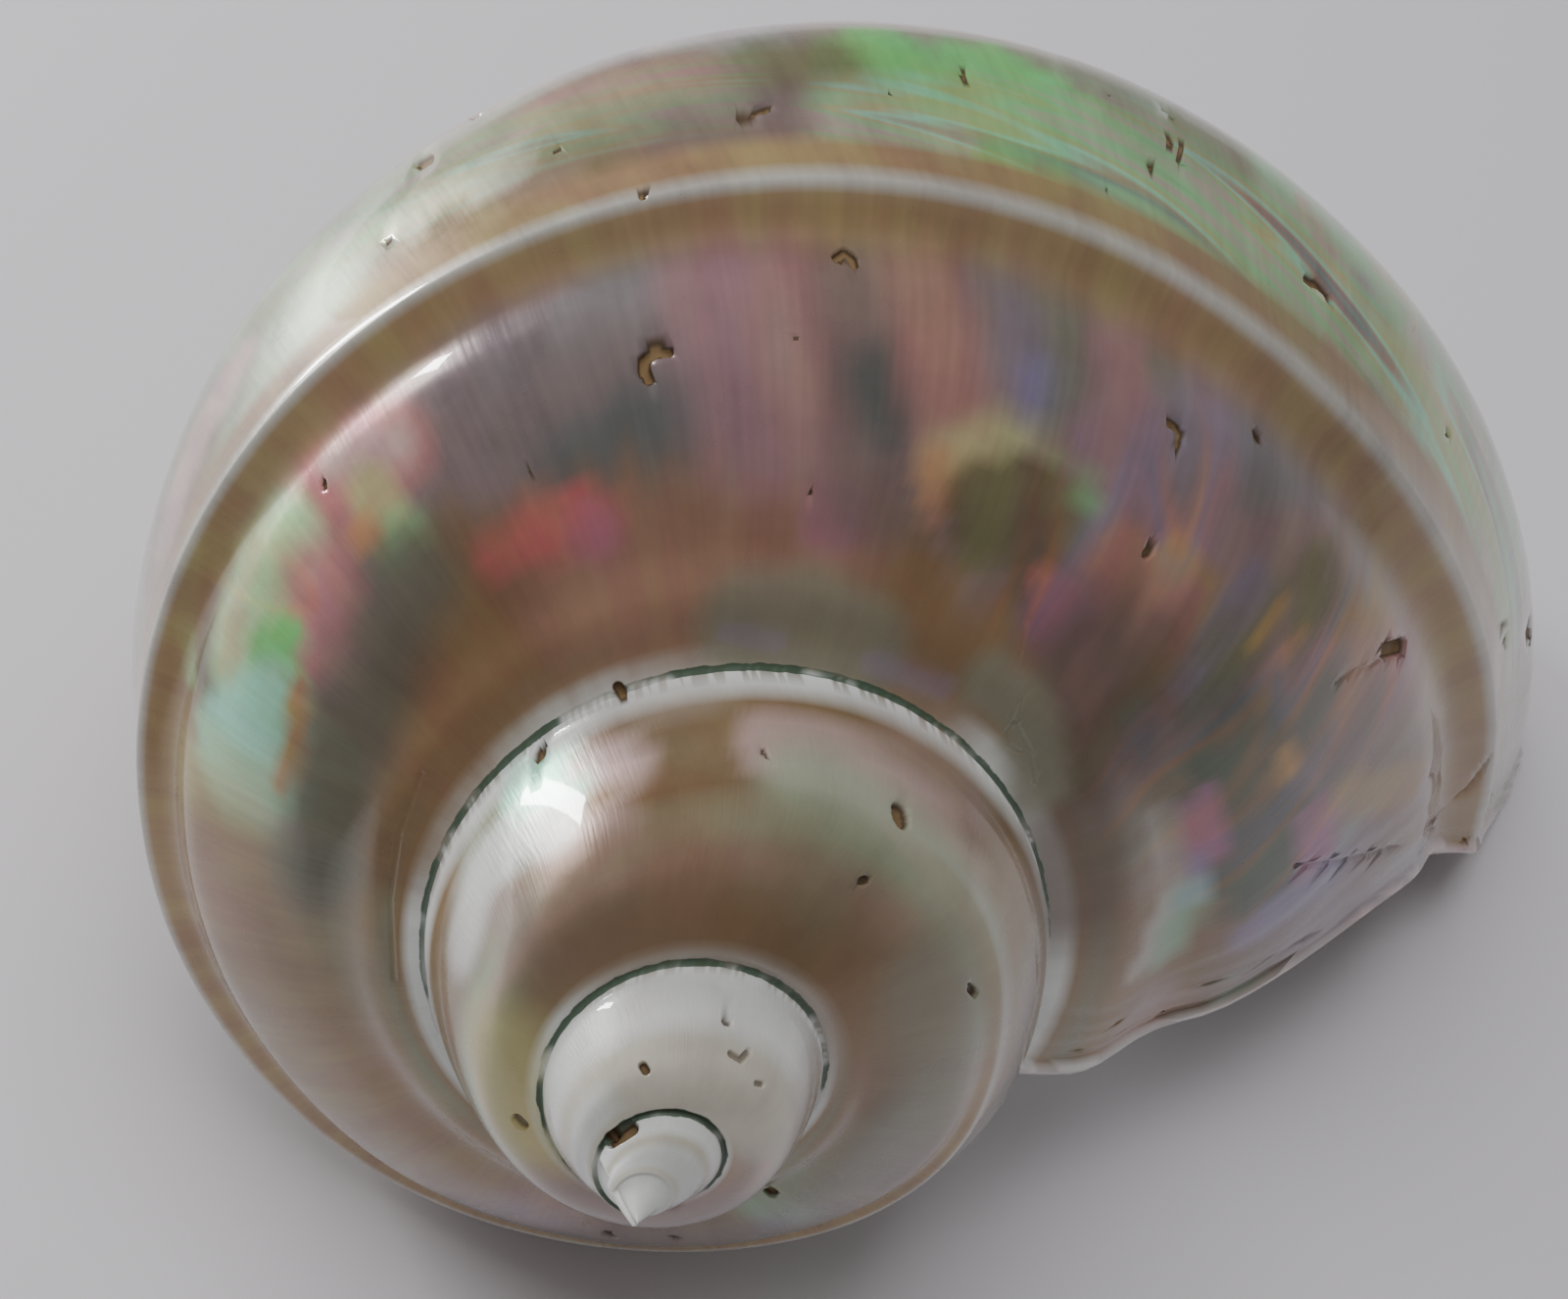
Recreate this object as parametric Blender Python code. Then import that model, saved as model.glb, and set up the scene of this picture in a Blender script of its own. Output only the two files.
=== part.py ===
"""Polished mother-of-pearl turban shell: one coiled piece, lying on its mouth.

The shell is built in its own frame, with the apex at the origin and the coiling axis along +Z, and is
then laid down as it rests. A place in the coil is a turn: 0 at the lip and -1 one whorl earlier. Growth
runs clockwise seen from the apex, so the shell is dextral. A point of a section holds its radius from
the axis and its depth below the apex, in keel radii, and the turn whose axis it keeps to.
"""

from math import cos, exp, pi, sin, tau

import bmesh
import bpy
from mathutils import Matrix, Vector

SCALE = 0.077  # metres: the keel's radius at the lip, before the lip flares

# Growth of the coil. The logarithm of the size is a cubic of the turn, and steady near the apex.
GROWTH = (0.613, -0.203, -0.0485)
STEADY_BEFORE = -2.5
SUTURE = (0.427, 0.682)  # radius and depth of the last whorl's upper edge at the lip
KEEL = (1.0, 1.161)  # radius and depth of the shoulder keel at the lip
KEEL_GAIN = 0.118  # the keel stands out more with each whorl
KEEL_DIP = (-1.06, 0.115, 0.10)  # the keel draws in as it passes under the lip: turn, spread and share
KEEL_SHARP = (-1.5, -0.9)  # turns over which the round whorls of the spire become keeled
AXIS_OFFSET = ((0.049, 0.080), (0.019, -0.0144))  # the axis bends: x and y at the lip, and for each turn

# The last fifth of a whorl flares out and drops.
LIP_ZONE = 0.19
LIP_FLARE = 0.176
SUTURE_FLARE = 0.105
LIP_DROP = 0.185

# The wall and the base, as steps out and down from the keel.
WALL_OUT = (0.038, 0.19)  # half a whorl back, and its gain with each turn
WALL_DOWN = 0.40
FREE_AFTER = 0.30  # turns past -1 over which the wall comes free of the next whorl's suture
BASE_STEPS = ((-0.13, 0.66), (-0.42, 0.82))
BASE_DEPTH = (0.81, 0.80)  # near the axis and on it
BASE_LIFT = (0.09, 0.32)  # the base rises to the axis again at the lip, which rounds the mouth
NEAR_AXIS = 0.16

# Relief of the shoulder: its crown, then the place across, width and height of each ring and channel.
CROWN = 0.055
RINGS = ((0.13, 0.06, 0.010), (0.26, 0.07, -0.012), (0.88, 0.07, -0.022), (1.00, 0.05, 0.012))

# The lip leans: its upper end is carried forward and its base held back, by these turns at each depth.
LEAN_DEPTHS = (0.70, 1.05, 1.60, 2.25)
LEAN_TURNS = (0.045, 0.000, 0.000, -0.050)
LEAN_REACH = 0.30  # turns each way over which the lean fades
LEAN_TOP = (0.25, 0.60)  # depths between which it comes in below the apex

# The hollow, which runs back from the mouth.
LIP_WALL, WALL, PARTITION, COLUMELLA = 0.045, 0.060, 0.050, 0.120
HOLLOW_TURNS = 0.90
ROUNDING, SHARE_ROUNDING = 8, 4  # passes that round the corners of the hollow and its edge
MOUTH_EASE = 0.16  # turns over which the inner side of the mouth thickens

APEX_TURN = -3.5  # the worn tip
WORN = (-3.0, -2.3)  # turns between which the keel and the rings come out of the worn tip
TIP_BEND = (-0.0167, -0.0106)  # the tip stands this far off the axis
TIP_TURNS = (-3.3, -2.0)
STEPS_PER_TURN = 40
SHOULDER_STEPS, WALL_STEPS, BASE_COUNT, COLUMELLA_STEPS = 12, 4, 10, 20
BASE_KNOTS = (0.0, 0.40, 0.70, 1.05, 1.60, 1.80)  # of the curve from the keel to the axis
WALL_COLUMN = SHOULDER_STEPS + WALL_STEPS
SOFTENING = 6  # passes that round the spire's whorls
WELD = 1e-6

# At rest, in the shell's own frame: the way down, and the way that the front faces.
DOWN = (0.142, -0.912, -0.385)
FRONT = (-0.22, 0.45, 0.865)
WORN_FLAT = 0.0004  # metres taken off where the shell touches the surface


def smoothstep(x):
    x = min(max(x, 0.0), 1.0)
    return x * x * (3 - 2 * x)


def mixed(a, b, share):
    return a + (b - a) * share


def size(turn):
    """The whorl's size against its size at the lip."""
    a, b, c = GROWTH
    near = max(turn, STEADY_BEFORE)
    slope = a + 2 * b * STEADY_BEFORE + 3 * c * STEADY_BEFORE**2
    return exp(a * near + b * near**2 + c * near**3 + slope * min(turn - STEADY_BEFORE, 0))


def lip_part(turn):
    return max((turn + LIP_ZONE) / LIP_ZONE, 0) ** 2


def suture_at(turn):
    radius, depth = Vector(SUTURE) * size(turn)
    return Vector((radius * (1 + SUTURE_FLARE * lip_part(turn)), depth))


def keel_at(turn):
    grown = size(turn) * exp(KEEL_GAIN * turn)
    middle, spread, share = KEEL_DIP
    dip = share * exp(-(((turn - middle) / spread) ** 2))
    radius = KEEL[0] * grown * (1 + LIP_FLARE * lip_part(turn) - dip)
    return Vector((radius, KEEL[1] * grown * (1 + LIP_DROP * lip_part(turn))))


def freedom(turn):
    """0 where the next whorl is sewn to the wall, and 1 where the wall is free."""
    return smoothstep((turn + 1) / FREE_AFTER)


def wall_at(turn):
    """The widest point below the keel. On the spire it is the next whorl's suture."""
    free = keel_at(turn) + Vector((WALL_OUT[0] + WALL_OUT[1] * (turn + 0.5), WALL_DOWN)) * size(turn)
    return suture_at(turn + 1).lerp(free, freedom(turn))


def ramp(turn, turns):
    return smoothstep((turn - turns[0]) / (turns[1] - turns[0]))


def relief(across, turn):
    """The height of the shoulder's surface. The rings of its outer half are on the body whorl alone."""
    height = CROWN * max(sin(pi * across), 0)
    for at, wide, high in RINGS:
        share = 1 if at < 0.5 else ramp(turn, KEEL_SHARP)
        height += share * high * exp(-(((across - at) / wide) ** 2))
    return height


def shoulder(turn):
    """Points from the suture to the keel, over the shoulder's rings and channels."""
    start = suture_at(turn)
    unworn = ramp(turn, WORN)
    along = start.lerp(wall_at(turn), 0.5).lerp(keel_at(turn), unworn) - start
    outward = Vector((along.y, -along.x)).normalized() * size(turn) * unworn
    for step in range(SHOULDER_STEPS + 1):
        across = step / SHOULDER_STEPS
        point = start + along * across + outward * (relief(across, turn) - relief(0, turn) * (1 - across))
        yield Vector((*point, turn + (1 - freedom(turn)) * smoothstep(across)))


def curve_through(points, knots, at):
    """A smooth curve through the points, each met at its knot."""
    spans = [b - a for a, b in zip(knots, knots[1:])]
    chords = [(q - p) / span for p, q, span in zip(points, points[1:], spans)]
    slopes = [chords[0]]
    for i in range(len(spans) - 1):
        slopes.append((chords[i] * spans[i + 1] + chords[i + 1] * spans[i]) / (spans[i] + spans[i + 1]))
    slopes.append(chords[-1])
    i = max(j for j in range(len(spans)) if knots[j] <= at)
    s = (at - knots[i]) / spans[i]
    ends = points[i] * (2 * s**3 - 3 * s**2 + 1) + points[i + 1] * (3 * s**2 - 2 * s**3)
    return ends + (slopes[i] * (s**3 - 2 * s**2 + s) + slopes[i + 1] * (s**3 - s**2)) * spans[i]


def section(turn):
    """Points across a whorl, from its suture over the keel and the wall to the axis at the base."""
    points = list(shoulder(turn))
    keel = keel_at(turn)
    guides = [points[-1].xy, wall_at(turn)]
    guides += [keel + Vector(step) * size(turn) for step in BASE_STEPS]
    for radius, depth, lift in zip((NEAR_AXIS, 0), BASE_DEPTH, BASE_LIFT):
        guides.append(Vector((radius * size(turn), keel.y + (depth - lift * lip_part(turn)) * size(turn))))
    kept = turn + 1 - freedom(turn)
    for step in range(1, WALL_STEPS + 1):
        points.append(Vector((*curve_through(guides, BASE_KNOTS, BASE_KNOTS[1] * step / WALL_STEPS), kept)))
    soften = 0.5 * (1 - ramp(turn, KEEL_SHARP))
    for _ in range(SOFTENING):
        middles = [(before + after) / 2 for before, after in zip(points, points[2:])]
        points[1:-1] = [point.lerp(middle, soften) for point, middle in zip(points[1:-1], middles)]
    for step in range(1, BASE_COUNT + 1):
        share = step / BASE_COUNT
        spot = curve_through(guides, BASE_KNOTS, mixed(BASE_KNOTS[1], BASE_KNOTS[-1], share))
        points.append(Vector((*spot, mixed(kept, 0, smoothstep(share)))))
    return points


def axis_turn(turn):
    """The turn of the nearest point kept on the columella's line."""
    return round((turn + 1) * COLUMELLA_STEPS) / COLUMELLA_STEPS - 1


def placed(point, turn):
    """A section's point in space, in metres, with the bend of the axis and the lean of the lip."""
    depth, kept = point.y, point.z
    carried = curve_through(LEAN_TURNS, LEAN_DEPTHS, min(max(depth, LEAN_DEPTHS[0]), LEAN_DEPTHS[-1]))
    carried *= smoothstep((depth - LEAN_TOP[0]) / (LEAN_TOP[1] - LEAN_TOP[0]))
    angle = -tau * (turn + carried * smoothstep(1 - abs(turn - round(turn)) / LEAN_REACH))
    axis = Vector([(at_lip + gain * kept) * size(kept) for at_lip, gain in AXIS_OFFSET])
    axis += Vector(TIP_BEND) * (1 - ramp(kept, TIP_TURNS))
    return Vector((point.x * cos(angle) + axis.x, point.x * sin(angle) + axis.y, -depth)) * SCALE


def outer_row(turn, columns):
    points = section(turn)
    row = [placed(point, turn) for point in points[:columns]]
    if columns == len(points):
        row[-1] = placed(section(axis_turn(turn))[-1], axis_turn(turn))
    return row


def mouth_edge():
    """The edge of the mouth: down the lip, up the columella and out along the whorl before."""
    lip = outer_row(0, len(section(0)))
    columella = [outer_row(-step / COLUMELLA_STEPS, len(lip))[-1] for step in range(1, COLUMELLA_STEPS)]
    parietal = outer_row(-1, len(lip))[:WALL_COLUMN:-1]
    return lip + columella + parietal


def rounded(loop, passes):
    """The loop with each item drawn toward its neighbours, pass after pass."""
    for _ in range(passes):
        loop = [(loop[i - 1] + loop[i] * 2 + loop[(i + 1) % len(loop)]) / 4 for i in range(len(loop))]
    return loop


def hollow_ring(turn):
    """The hollow's outline: the whorl's own outline moved in by the wall and rounded."""
    outer, before = section(turn), section(turn - 1)[:WALL_COLUMN:-1]
    columella = [section(turn - step / COLUMELLA_STEPS)[-1] for step in range(1, COLUMELLA_STEPS)]
    wall = mixed(WALL, LIP_WALL, lip_part(turn))
    insets = [wall] * (len(outer) - 1) + [COLUMELLA] * (len(columella) + 2) + [PARTITION] * (len(before) - 1)
    outline = outer + columella + before
    centre = sum(outline, Vector((0, 0, 0))) / len(outline)
    ring = []
    for point, inset in zip(outline, insets):
        inward = (centre - point).xy.normalized() * inset * size(turn)
        ring.append(point + Vector((*inward, 0)))
    inside = smoothstep(-turn / MOUTH_EASE)
    shares = rounded([1] * len(outer) + [inside] * (len(outline) - len(outer)), SHARE_ROUNDING)
    ring = rounded(ring, ROUNDING)
    return [placed(edge.lerp(spot, share), turn) for edge, spot, share in zip(outline, ring, shares)]


def add_sheet(bm, rows, closed=False):
    """Joins each row of points to the next with faces."""
    made = [[bm.verts.new(point) for point in row] for row in rows]
    for row, after in zip(made, made[1:]):
        for i in range(0 if closed else 1, len(row)):
            bm.faces.new((row[i - 1], row[i], after[i], after[i - 1]))


def close_hole(bm, edges, tip):
    """Draws the open edges in to one point."""
    grown = bmesh.ops.extrude_edge_only(bm, edges=edges)["geom"]
    bmesh.ops.pointmerge(bm, verts=[v for v in grown if isinstance(v, bmesh.types.BMVert)], merge_co=tip)


def turns_between(first, last):
    count = round((last - first) * STEPS_PER_TURN)
    return [mixed(first, last, step / count) for step in range(count + 1)]


def build_shell():
    bm = bmesh.new()
    add_sheet(bm, [outer_row(turn, WALL_COLUMN + 1) for turn in turns_between(APEX_TURN, -1)])
    add_sheet(bm, [outer_row(turn, WALL_COLUMN + 1 + BASE_COUNT) for turn in turns_between(-1, 0)])
    rings = [hollow_ring(turn) for turn in reversed(turns_between(-HOLLOW_TURNS, 0))]
    add_sheet(bm, [mouth_edge(), *rings], closed=True)
    bmesh.ops.remove_doubles(bm, verts=bm.verts, dist=WELD)
    bmesh.ops.dissolve_degenerate(bm, dist=WELD, edges=bm.edges)
    open_edges = [edge for edge in bm.edges if edge.is_boundary]
    inner_end = sum(rings[-1], Vector((0, 0, 0))) / len(rings[-1])
    near_apex = [edge for edge in open_edges if edge.verts[0].co.z > inner_end.z / 2]
    close_hole(bm, [edge for edge in open_edges if edge not in near_apex], inner_end)
    close_hole(bm, near_apex, placed(Vector((0, 0, APEX_TURN)), APEX_TURN))
    bmesh.ops.triangulate(bm, faces=bm.faces)
    bmesh.ops.recalc_face_normals(bm, faces=bm.faces)
    return bm


def lay_down(bm):
    """Turns the shell to rest on its mouth, with the origin below the middle of its box."""
    up, front = -Vector(DOWN).normalized(), Vector(FRONT)
    back = (up * front.dot(up) - front).normalized()
    bm.transform(Matrix((back.cross(up), back, up)).to_4x4())
    lowest = min(v.co.z for v in bm.verts) + WORN_FLAT
    geometry = [*bm.verts, *bm.edges, *bm.faces]
    bmesh.ops.bisect_plane(bm, geom=geometry, plane_co=(0, 0, lowest), plane_no=(0, 0, -1), clear_outer=True)
    bmesh.ops.holes_fill(bm, edges=[edge for edge in bm.edges if edge.is_boundary])
    bmesh.ops.triangulate(bm, faces=bm.faces)
    middle = [(min(side) + max(side)) / 2 for side in zip(*(v.co.xy for v in bm.verts))]
    bmesh.ops.translate(bm, verts=bm.verts, vec=(-middle[0], -middle[1], -lowest))


def pearl_material():
    material = bpy.data.materials.new("pearl")
    material.use_nodes = True
    finish = material.node_tree.nodes["Principled BSDF"].inputs
    finish["Base Color"].default_value = (0.42, 0.36, 0.29, 1)
    finish["Roughness"].default_value = 0.25
    finish["Metallic"].default_value = 0.2
    return material


def main():
    for old in list(bpy.data.objects):
        bpy.data.objects.remove(old)
    bm = build_shell()
    lay_down(bm)
    mesh = bpy.data.meshes.new("shell")
    bm.to_mesh(mesh)
    bm.free()
    mesh.shade_smooth()
    mesh.materials.append(pearl_material())
    shell = bpy.data.objects.new("shell", mesh)
    collection = bpy.data.collections.new("mother_of_pearl_shell")
    bpy.context.scene.collection.children.link(collection)
    collection.objects.link(shell)


main()
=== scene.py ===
from functools import lru_cache
from math import pi, radians, tau

import bmesh
import bpy
import numpy as np
from mathutils import Euler, Matrix, Vector, noise
from mathutils.bvhtree import BVHTree
from mathutils.kdtree import KDTree


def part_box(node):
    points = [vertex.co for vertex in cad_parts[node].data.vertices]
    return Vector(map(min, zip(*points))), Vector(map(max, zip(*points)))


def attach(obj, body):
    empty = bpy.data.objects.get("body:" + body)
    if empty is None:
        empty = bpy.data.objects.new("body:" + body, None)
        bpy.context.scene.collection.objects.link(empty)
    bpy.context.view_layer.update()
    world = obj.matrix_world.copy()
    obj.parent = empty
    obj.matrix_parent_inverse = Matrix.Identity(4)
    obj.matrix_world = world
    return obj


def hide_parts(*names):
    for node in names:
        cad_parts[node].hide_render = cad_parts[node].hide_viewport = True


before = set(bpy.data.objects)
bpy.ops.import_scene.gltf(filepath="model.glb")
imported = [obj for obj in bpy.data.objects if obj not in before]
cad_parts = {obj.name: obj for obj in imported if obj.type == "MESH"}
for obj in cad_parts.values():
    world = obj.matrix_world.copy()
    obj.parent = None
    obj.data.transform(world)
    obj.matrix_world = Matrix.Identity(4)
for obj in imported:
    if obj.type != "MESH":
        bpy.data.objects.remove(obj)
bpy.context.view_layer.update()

photoSize = (1600, 1326)
camera = dict(
    place=(-0.01135, -0.24756, 0.33561),
    turned=(37.1075, -13.7289, 17.3948),   # degrees
    lens=90, sensor=36, nearest=0.01,
)

# The coil grows by the same rule as the solid. A place on it is a turn, 0 at the lip and -1 a whorl before,
# and how far across it lies: 0 at the suture, 1 on the keel, 2 below the wall and 3 at the axis.
coil = dict(
    scale=0.077,   # the keel's radius at the lip, metres
    growth=(0.613, -0.203, -0.0485), steadyBefore=-2.5,
    suture=(0.427, 0.682), keel=(1.0, 1.161), keelGain=0.118,
    keelDip=(-1.06, 0.115, 0.10), keelSharp=(-1.5, -0.9),
    axisAtLip=(0.049, 0.019), axisGain=(0.080, -0.0144), tipBend=(-0.0167, -0.0106), tipTurns=(-3.3, -2.0),
    lipZone=0.19, lipFlare=0.176, sutureFlare=0.105, lipDrop=0.185,
    wallOut=(0.038, 0.19), wallDown=0.40, freeAfter=0.30,
    baseSteps=((-0.13, 0.66), (-0.42, 0.82)), baseDepth=(0.81, 0.80), baseLift=(0.09, 0.32), nearAxis=0.16,
    baseKnots=(0.0, 0.40, 0.70, 1.05, 1.60, 1.80),
    crown=0.055, innerRings=((0.13, 0.06, 0.010), (0.26, 0.07, -0.012)),
    outerRings=((0.88, 0.07, -0.022), (1.00, 0.05, 0.012)),
    leanDepths=(0.70, 1.05, 1.60, 2.25), leanTurns=(0.045, 0.0, 0.0, -0.050),
    leanReach=0.30, leanTop=(0.25, 0.60),
    lipWall=0.045, wall=0.060, partition=0.050, columella=0.120, hollowTurns=0.90, mouthEase=0.16,
    apexTurn=-3.5, worn=(-3.0, -2.3),
    down=(0.142, -0.912, -0.385), front=(-0.22, 0.45, 0.865),
    drawnIn=0.998,   # how much smaller than the solid's box, so that nothing stands proud of it
)
mesh = dict(
    rowsPerTurn=480, spireRows=240, hollowRows=66, lipRows=8,
    shoulder=48, wallParts=16, base=40,     # points of a section
    columnsShoulder=40, columnsWall=12, columnsBase=30,
    columellaSteps=48, softening=96, ringRounding=72, shareRounding=36,
    lipBack=2 / 480,                        # turns over which the lip's edge is rounded
    weld=4e-6,
    closing=(0.35, 0.5, 0.65),              # how far each ring that closes an end moves toward its point
)


def smoothStep(x):
    x = np.clip(x, 0.0, 1.0)
    return x * x * (3 - 2 * x)


def mixed(a, b, share):
    return a + (b - a) * share


def ramp(turn, turns):
    return smoothStep((turn - turns[0]) / (turns[1] - turns[0]))


def bell(x, middle, wide):
    return np.exp(-(((x - middle) / wide) ** 2))


def whorlSize(turn):
    a, b, c = coil["growth"]
    steady = coil["steadyBefore"]
    near = np.maximum(turn, steady)
    slope = a + 2 * b * steady + 3 * c * steady**2
    return np.exp(a * near + b * near**2 + c * near**3 + slope * np.minimum(turn - steady, 0))


def lipPart(turn):
    return max((turn + coil["lipZone"]) / coil["lipZone"], 0) ** 2


def suturePoint(turn):
    radius, depth = np.array(coil["suture"]) * whorlSize(turn)
    return np.array((radius * (1 + coil["sutureFlare"] * lipPart(turn)), depth))


def keelPoint(turn):
    grown = whorlSize(turn) * np.exp(coil["keelGain"] * turn)
    middle, spread, share = coil["keelDip"]
    dip = share * bell(turn, middle, spread)
    radius, depth = coil["keel"]
    flare, drop = coil["lipFlare"] * lipPart(turn), coil["lipDrop"] * lipPart(turn)
    return np.array((radius * grown * (1 + flare - dip), depth * grown * (1 + drop)))


def wallFreedom(turn):   # 0 where the next whorl is sewn to the wall, 1 where the wall is free
    return smoothStep((turn + 1) / coil["freeAfter"])


def wallPoint(turn):
    out, gain = coil["wallOut"]
    free = keelPoint(turn) + np.array((out + gain * (turn + 0.5), coil["wallDown"])) * whorlSize(turn)
    return mixed(suturePoint(turn + 1), free, wallFreedom(turn))


def shoulderRelief(across, turn):
    height = coil["crown"] * np.maximum(np.sin(pi * across), 0)
    for at, wide, high in coil["innerRings"]:
        height = height + high * bell(across, at, wide)
    for at, wide, high in coil["outerRings"]:
        height = height + high * bell(across, at, wide) * ramp(turn, coil["keelSharp"])
    return height


def curveThrough(points, knots, at):   # a smooth curve that meets each point at its knot
    points, knots = np.array(points, float), np.array(knots, float)
    spans = np.diff(knots)
    widths = spans if points.ndim == 1 else spans[:, None]
    chords = np.diff(points, axis=0) / widths
    inner = (chords[:-1] * widths[1:] + chords[1:] * widths[:-1]) / (widths[:-1] + widths[1:])
    slopes = np.concatenate([chords[:1], inner, chords[-1:]])
    i = np.clip(np.searchsorted(knots, at, side="right") - 1, 0, len(spans) - 1)
    s = (at - knots[i]) / spans[i]
    if points.ndim > 1:
        s = s[:, None]
    ends = points[i] * (2 * s**3 - 3 * s**2 + 1) + points[i + 1] * (3 * s**2 - 2 * s**3)
    return ends + (slopes[i] * (s**3 - 2 * s**2 + s) + slopes[i + 1] * (s**3 - s**2)) * widths[i]


@lru_cache(maxsize=None)
def whorlSection(turn):   # radius, depth and the turn whose axis the point keeps to, from suture to axis
    start, keel = suturePoint(turn), keelPoint(turn)
    unworn = ramp(turn, coil["worn"])
    along = mixed(mixed(start, wallPoint(turn), 0.5), keel, unworn) - start
    outward = np.array((along[1], -along[0])) / np.hypot(*along) * whorlSize(turn) * unworn
    across = np.linspace(0, 1, mesh["shoulder"] + 1)
    height = shoulderRelief(across, turn) - shoulderRelief(0, turn) * (1 - across)
    spots = start + along * across[:, None] + outward * height[:, None]
    kept = turn + (1 - wallFreedom(turn)) * smoothStep(across)
    size = whorlSize(turn)
    guides = [spots[-1], wallPoint(turn)] + [keel + np.array(step) * size for step in coil["baseSteps"]]
    for radius, depth, lift in zip((coil["nearAxis"], 0), coil["baseDepth"], coil["baseLift"]):
        guides.append(np.array((radius * size, keel[1] + (depth - lift * lipPart(turn)) * size)))
    knots = coil["baseKnots"]
    down = knots[1] * np.arange(1, mesh["wallParts"] + 1) / mesh["wallParts"]
    spots = np.concatenate([spots, curveThrough(guides, knots, down)])
    kept = np.concatenate([kept, np.full(len(down), kept[-1])])
    points = np.column_stack([spots, kept])
    soften = 0.5 * (1 - ramp(turn, coil["keelSharp"]))
    for _ in range(mesh["softening"] if soften > 0 else 0):
        points[1:-1] += soften * ((points[:-2] + points[2:]) / 2 - points[1:-1])
    share = np.arange(1, mesh["base"] + 1) / mesh["base"]
    under = curveThrough(guides, knots, mixed(knots[1], knots[-1], share))
    return np.concatenate([points, np.column_stack([under, mixed(kept[-1], 0, smoothStep(share))])])


def sectionAt(turn, across):   # the section read smoothly at any places across it
    points = whorlSection(turn)
    marks = (0, mesh["shoulder"], mesh["shoulder"] + mesh["wallParts"], len(points) - 1)
    index = np.interp(across, (0, 1, 2, 3), marks)
    i = np.clip(index.astype(int), 0, len(points) - 2)
    s = (index - i)[:, None]
    before, a, b, after = (points[np.clip(i + k, 0, len(points) - 1)] for k in (-1, 0, 1, 2))
    return 0.5 * (2 * a + (b - before) * s + (2 * before - 5 * a + 4 * b - after) * s**2
                  + (3 * a - before - 3 * b + after) * s**3)


def placePoints(section, turn):   # a section's points in space, with the axis's bend and the lip's lean
    radius, depth, kept = section.T
    depths = np.clip(depth, coil["leanDepths"][0], coil["leanDepths"][-1])
    carried = curveThrough(coil["leanTurns"], coil["leanDepths"], depths) * ramp(depth, coil["leanTop"])
    angle = -tau * (turn + carried * smoothStep(1 - abs(turn - round(turn)) / coil["leanReach"]))
    size, tip = whorlSize(kept), 1 - ramp(kept, coil["tipTurns"])
    axisX, axisY = ((start + gain * kept) * size + bend * tip
                    for start, gain, bend in zip(coil["axisAtLip"], coil["axisGain"], coil["tipBend"]))
    x, y = radius * np.cos(angle) + axisX, radius * np.sin(angle) + axisY
    return np.column_stack([x, y, -depth]) * coil["scale"]


def axisPoint(turn):   # the nearest point kept on the columella's line
    turn = round((turn + 1) * mesh["columellaSteps"]) / mesh["columellaSteps"] - 1
    return placePoints(whorlSection(turn)[-1:], turn)[0]


def outerRow(turn, across):
    row = placePoints(sectionAt(turn, across), turn)
    if across[-1] == 3:
        row[-1] = axisPoint(turn)
    return row


def gathered(first, last, count):   # steps that lie closer at both ends
    step = np.linspace(0, 1, count + 1)
    return mixed(first, last, step - 0.7 * np.sin(tau * step) / tau)


bodyAcross = np.concatenate([gathered(0, 1, mesh["columnsShoulder"]),
                             np.linspace(1, 2, mesh["columnsWall"] + 1)[1:],
                             np.linspace(2, 3, mesh["columnsBase"] + 1)[1:]])
wallColumn = mesh["columnsShoulder"] + mesh["columnsWall"]
spireAcross = bodyAcross[:wallColumn + 1:2]


def lengthsAcross(row):
    return np.concatenate([[0], np.cumsum(np.linalg.norm(np.diff(row, axis=0), axis=1))])


farBand = 0.05   # metres: a place this far from any suture, or further


def wrapSheet(bm, rows, turns, across, bands):   # bends a flat grid onto rows of points
    turnLayer, acrossLayer = bm.verts.layers.float["turn"], bm.verts.layers.float["across"]
    growthMap, bandMap = bm.loops.layers.uv["growth"], bm.loops.layers.uv["bands"]
    wide, long = len(across) - 1, len(rows) - 1
    made = bmesh.ops.create_grid(bm, x_segments=wide, y_segments=long, size=0.5)["verts"]
    places = {}
    for vert in made:
        places[vert] = round((vert.co.y + 0.5) * long), round((vert.co.x + 0.5) * wide)
        row, column = places[vert]
        vert.co = rows[row][column]
        vert[turnLayer], vert[acrossLayer] = turns[row], across[column]
    for face in {face for vert in made for face in vert.link_faces}:
        for loop in face.loops:
            row, column = places[loop.vert]
            loop[growthMap].uv = turns[row], across[column]
            loop[bandMap].uv = bands[row][column]
    return places


def turnsBetween(first, last, perTurn):
    count = round((last - first) * perTurn)
    return [mixed(first, last, step / count) for step in range(count + 1)]


def wrapSpire(bm):
    turns = turnsBetween(coil["apexTurn"], -1, mesh["spireRows"])
    rows = [outerRow(turn, spireAcross) for turn in turns]
    bands = []
    for row in rows:
        lengths = lengthsAcross(row)
        bands.append(np.column_stack([lengths, lengths[-1] - lengths]))
    places = wrapSheet(bm, rows, turns, spireAcross, bands)
    lastColumn, lastRow = len(spireAcross) - 1, len(turns) - 1
    sewnFrom = lastRow - mesh["spireRows"]
    sewn = {vert for vert, (row, column) in places.items()
            if column == lastColumn and sewnFrom <= row < lastRow}
    start = {vert for vert, (row, _) in places.items() if row == lastRow}
    return [edge for edge in bm.edges if set(edge.verts) <= sewn or set(edge.verts) <= start]


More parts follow.
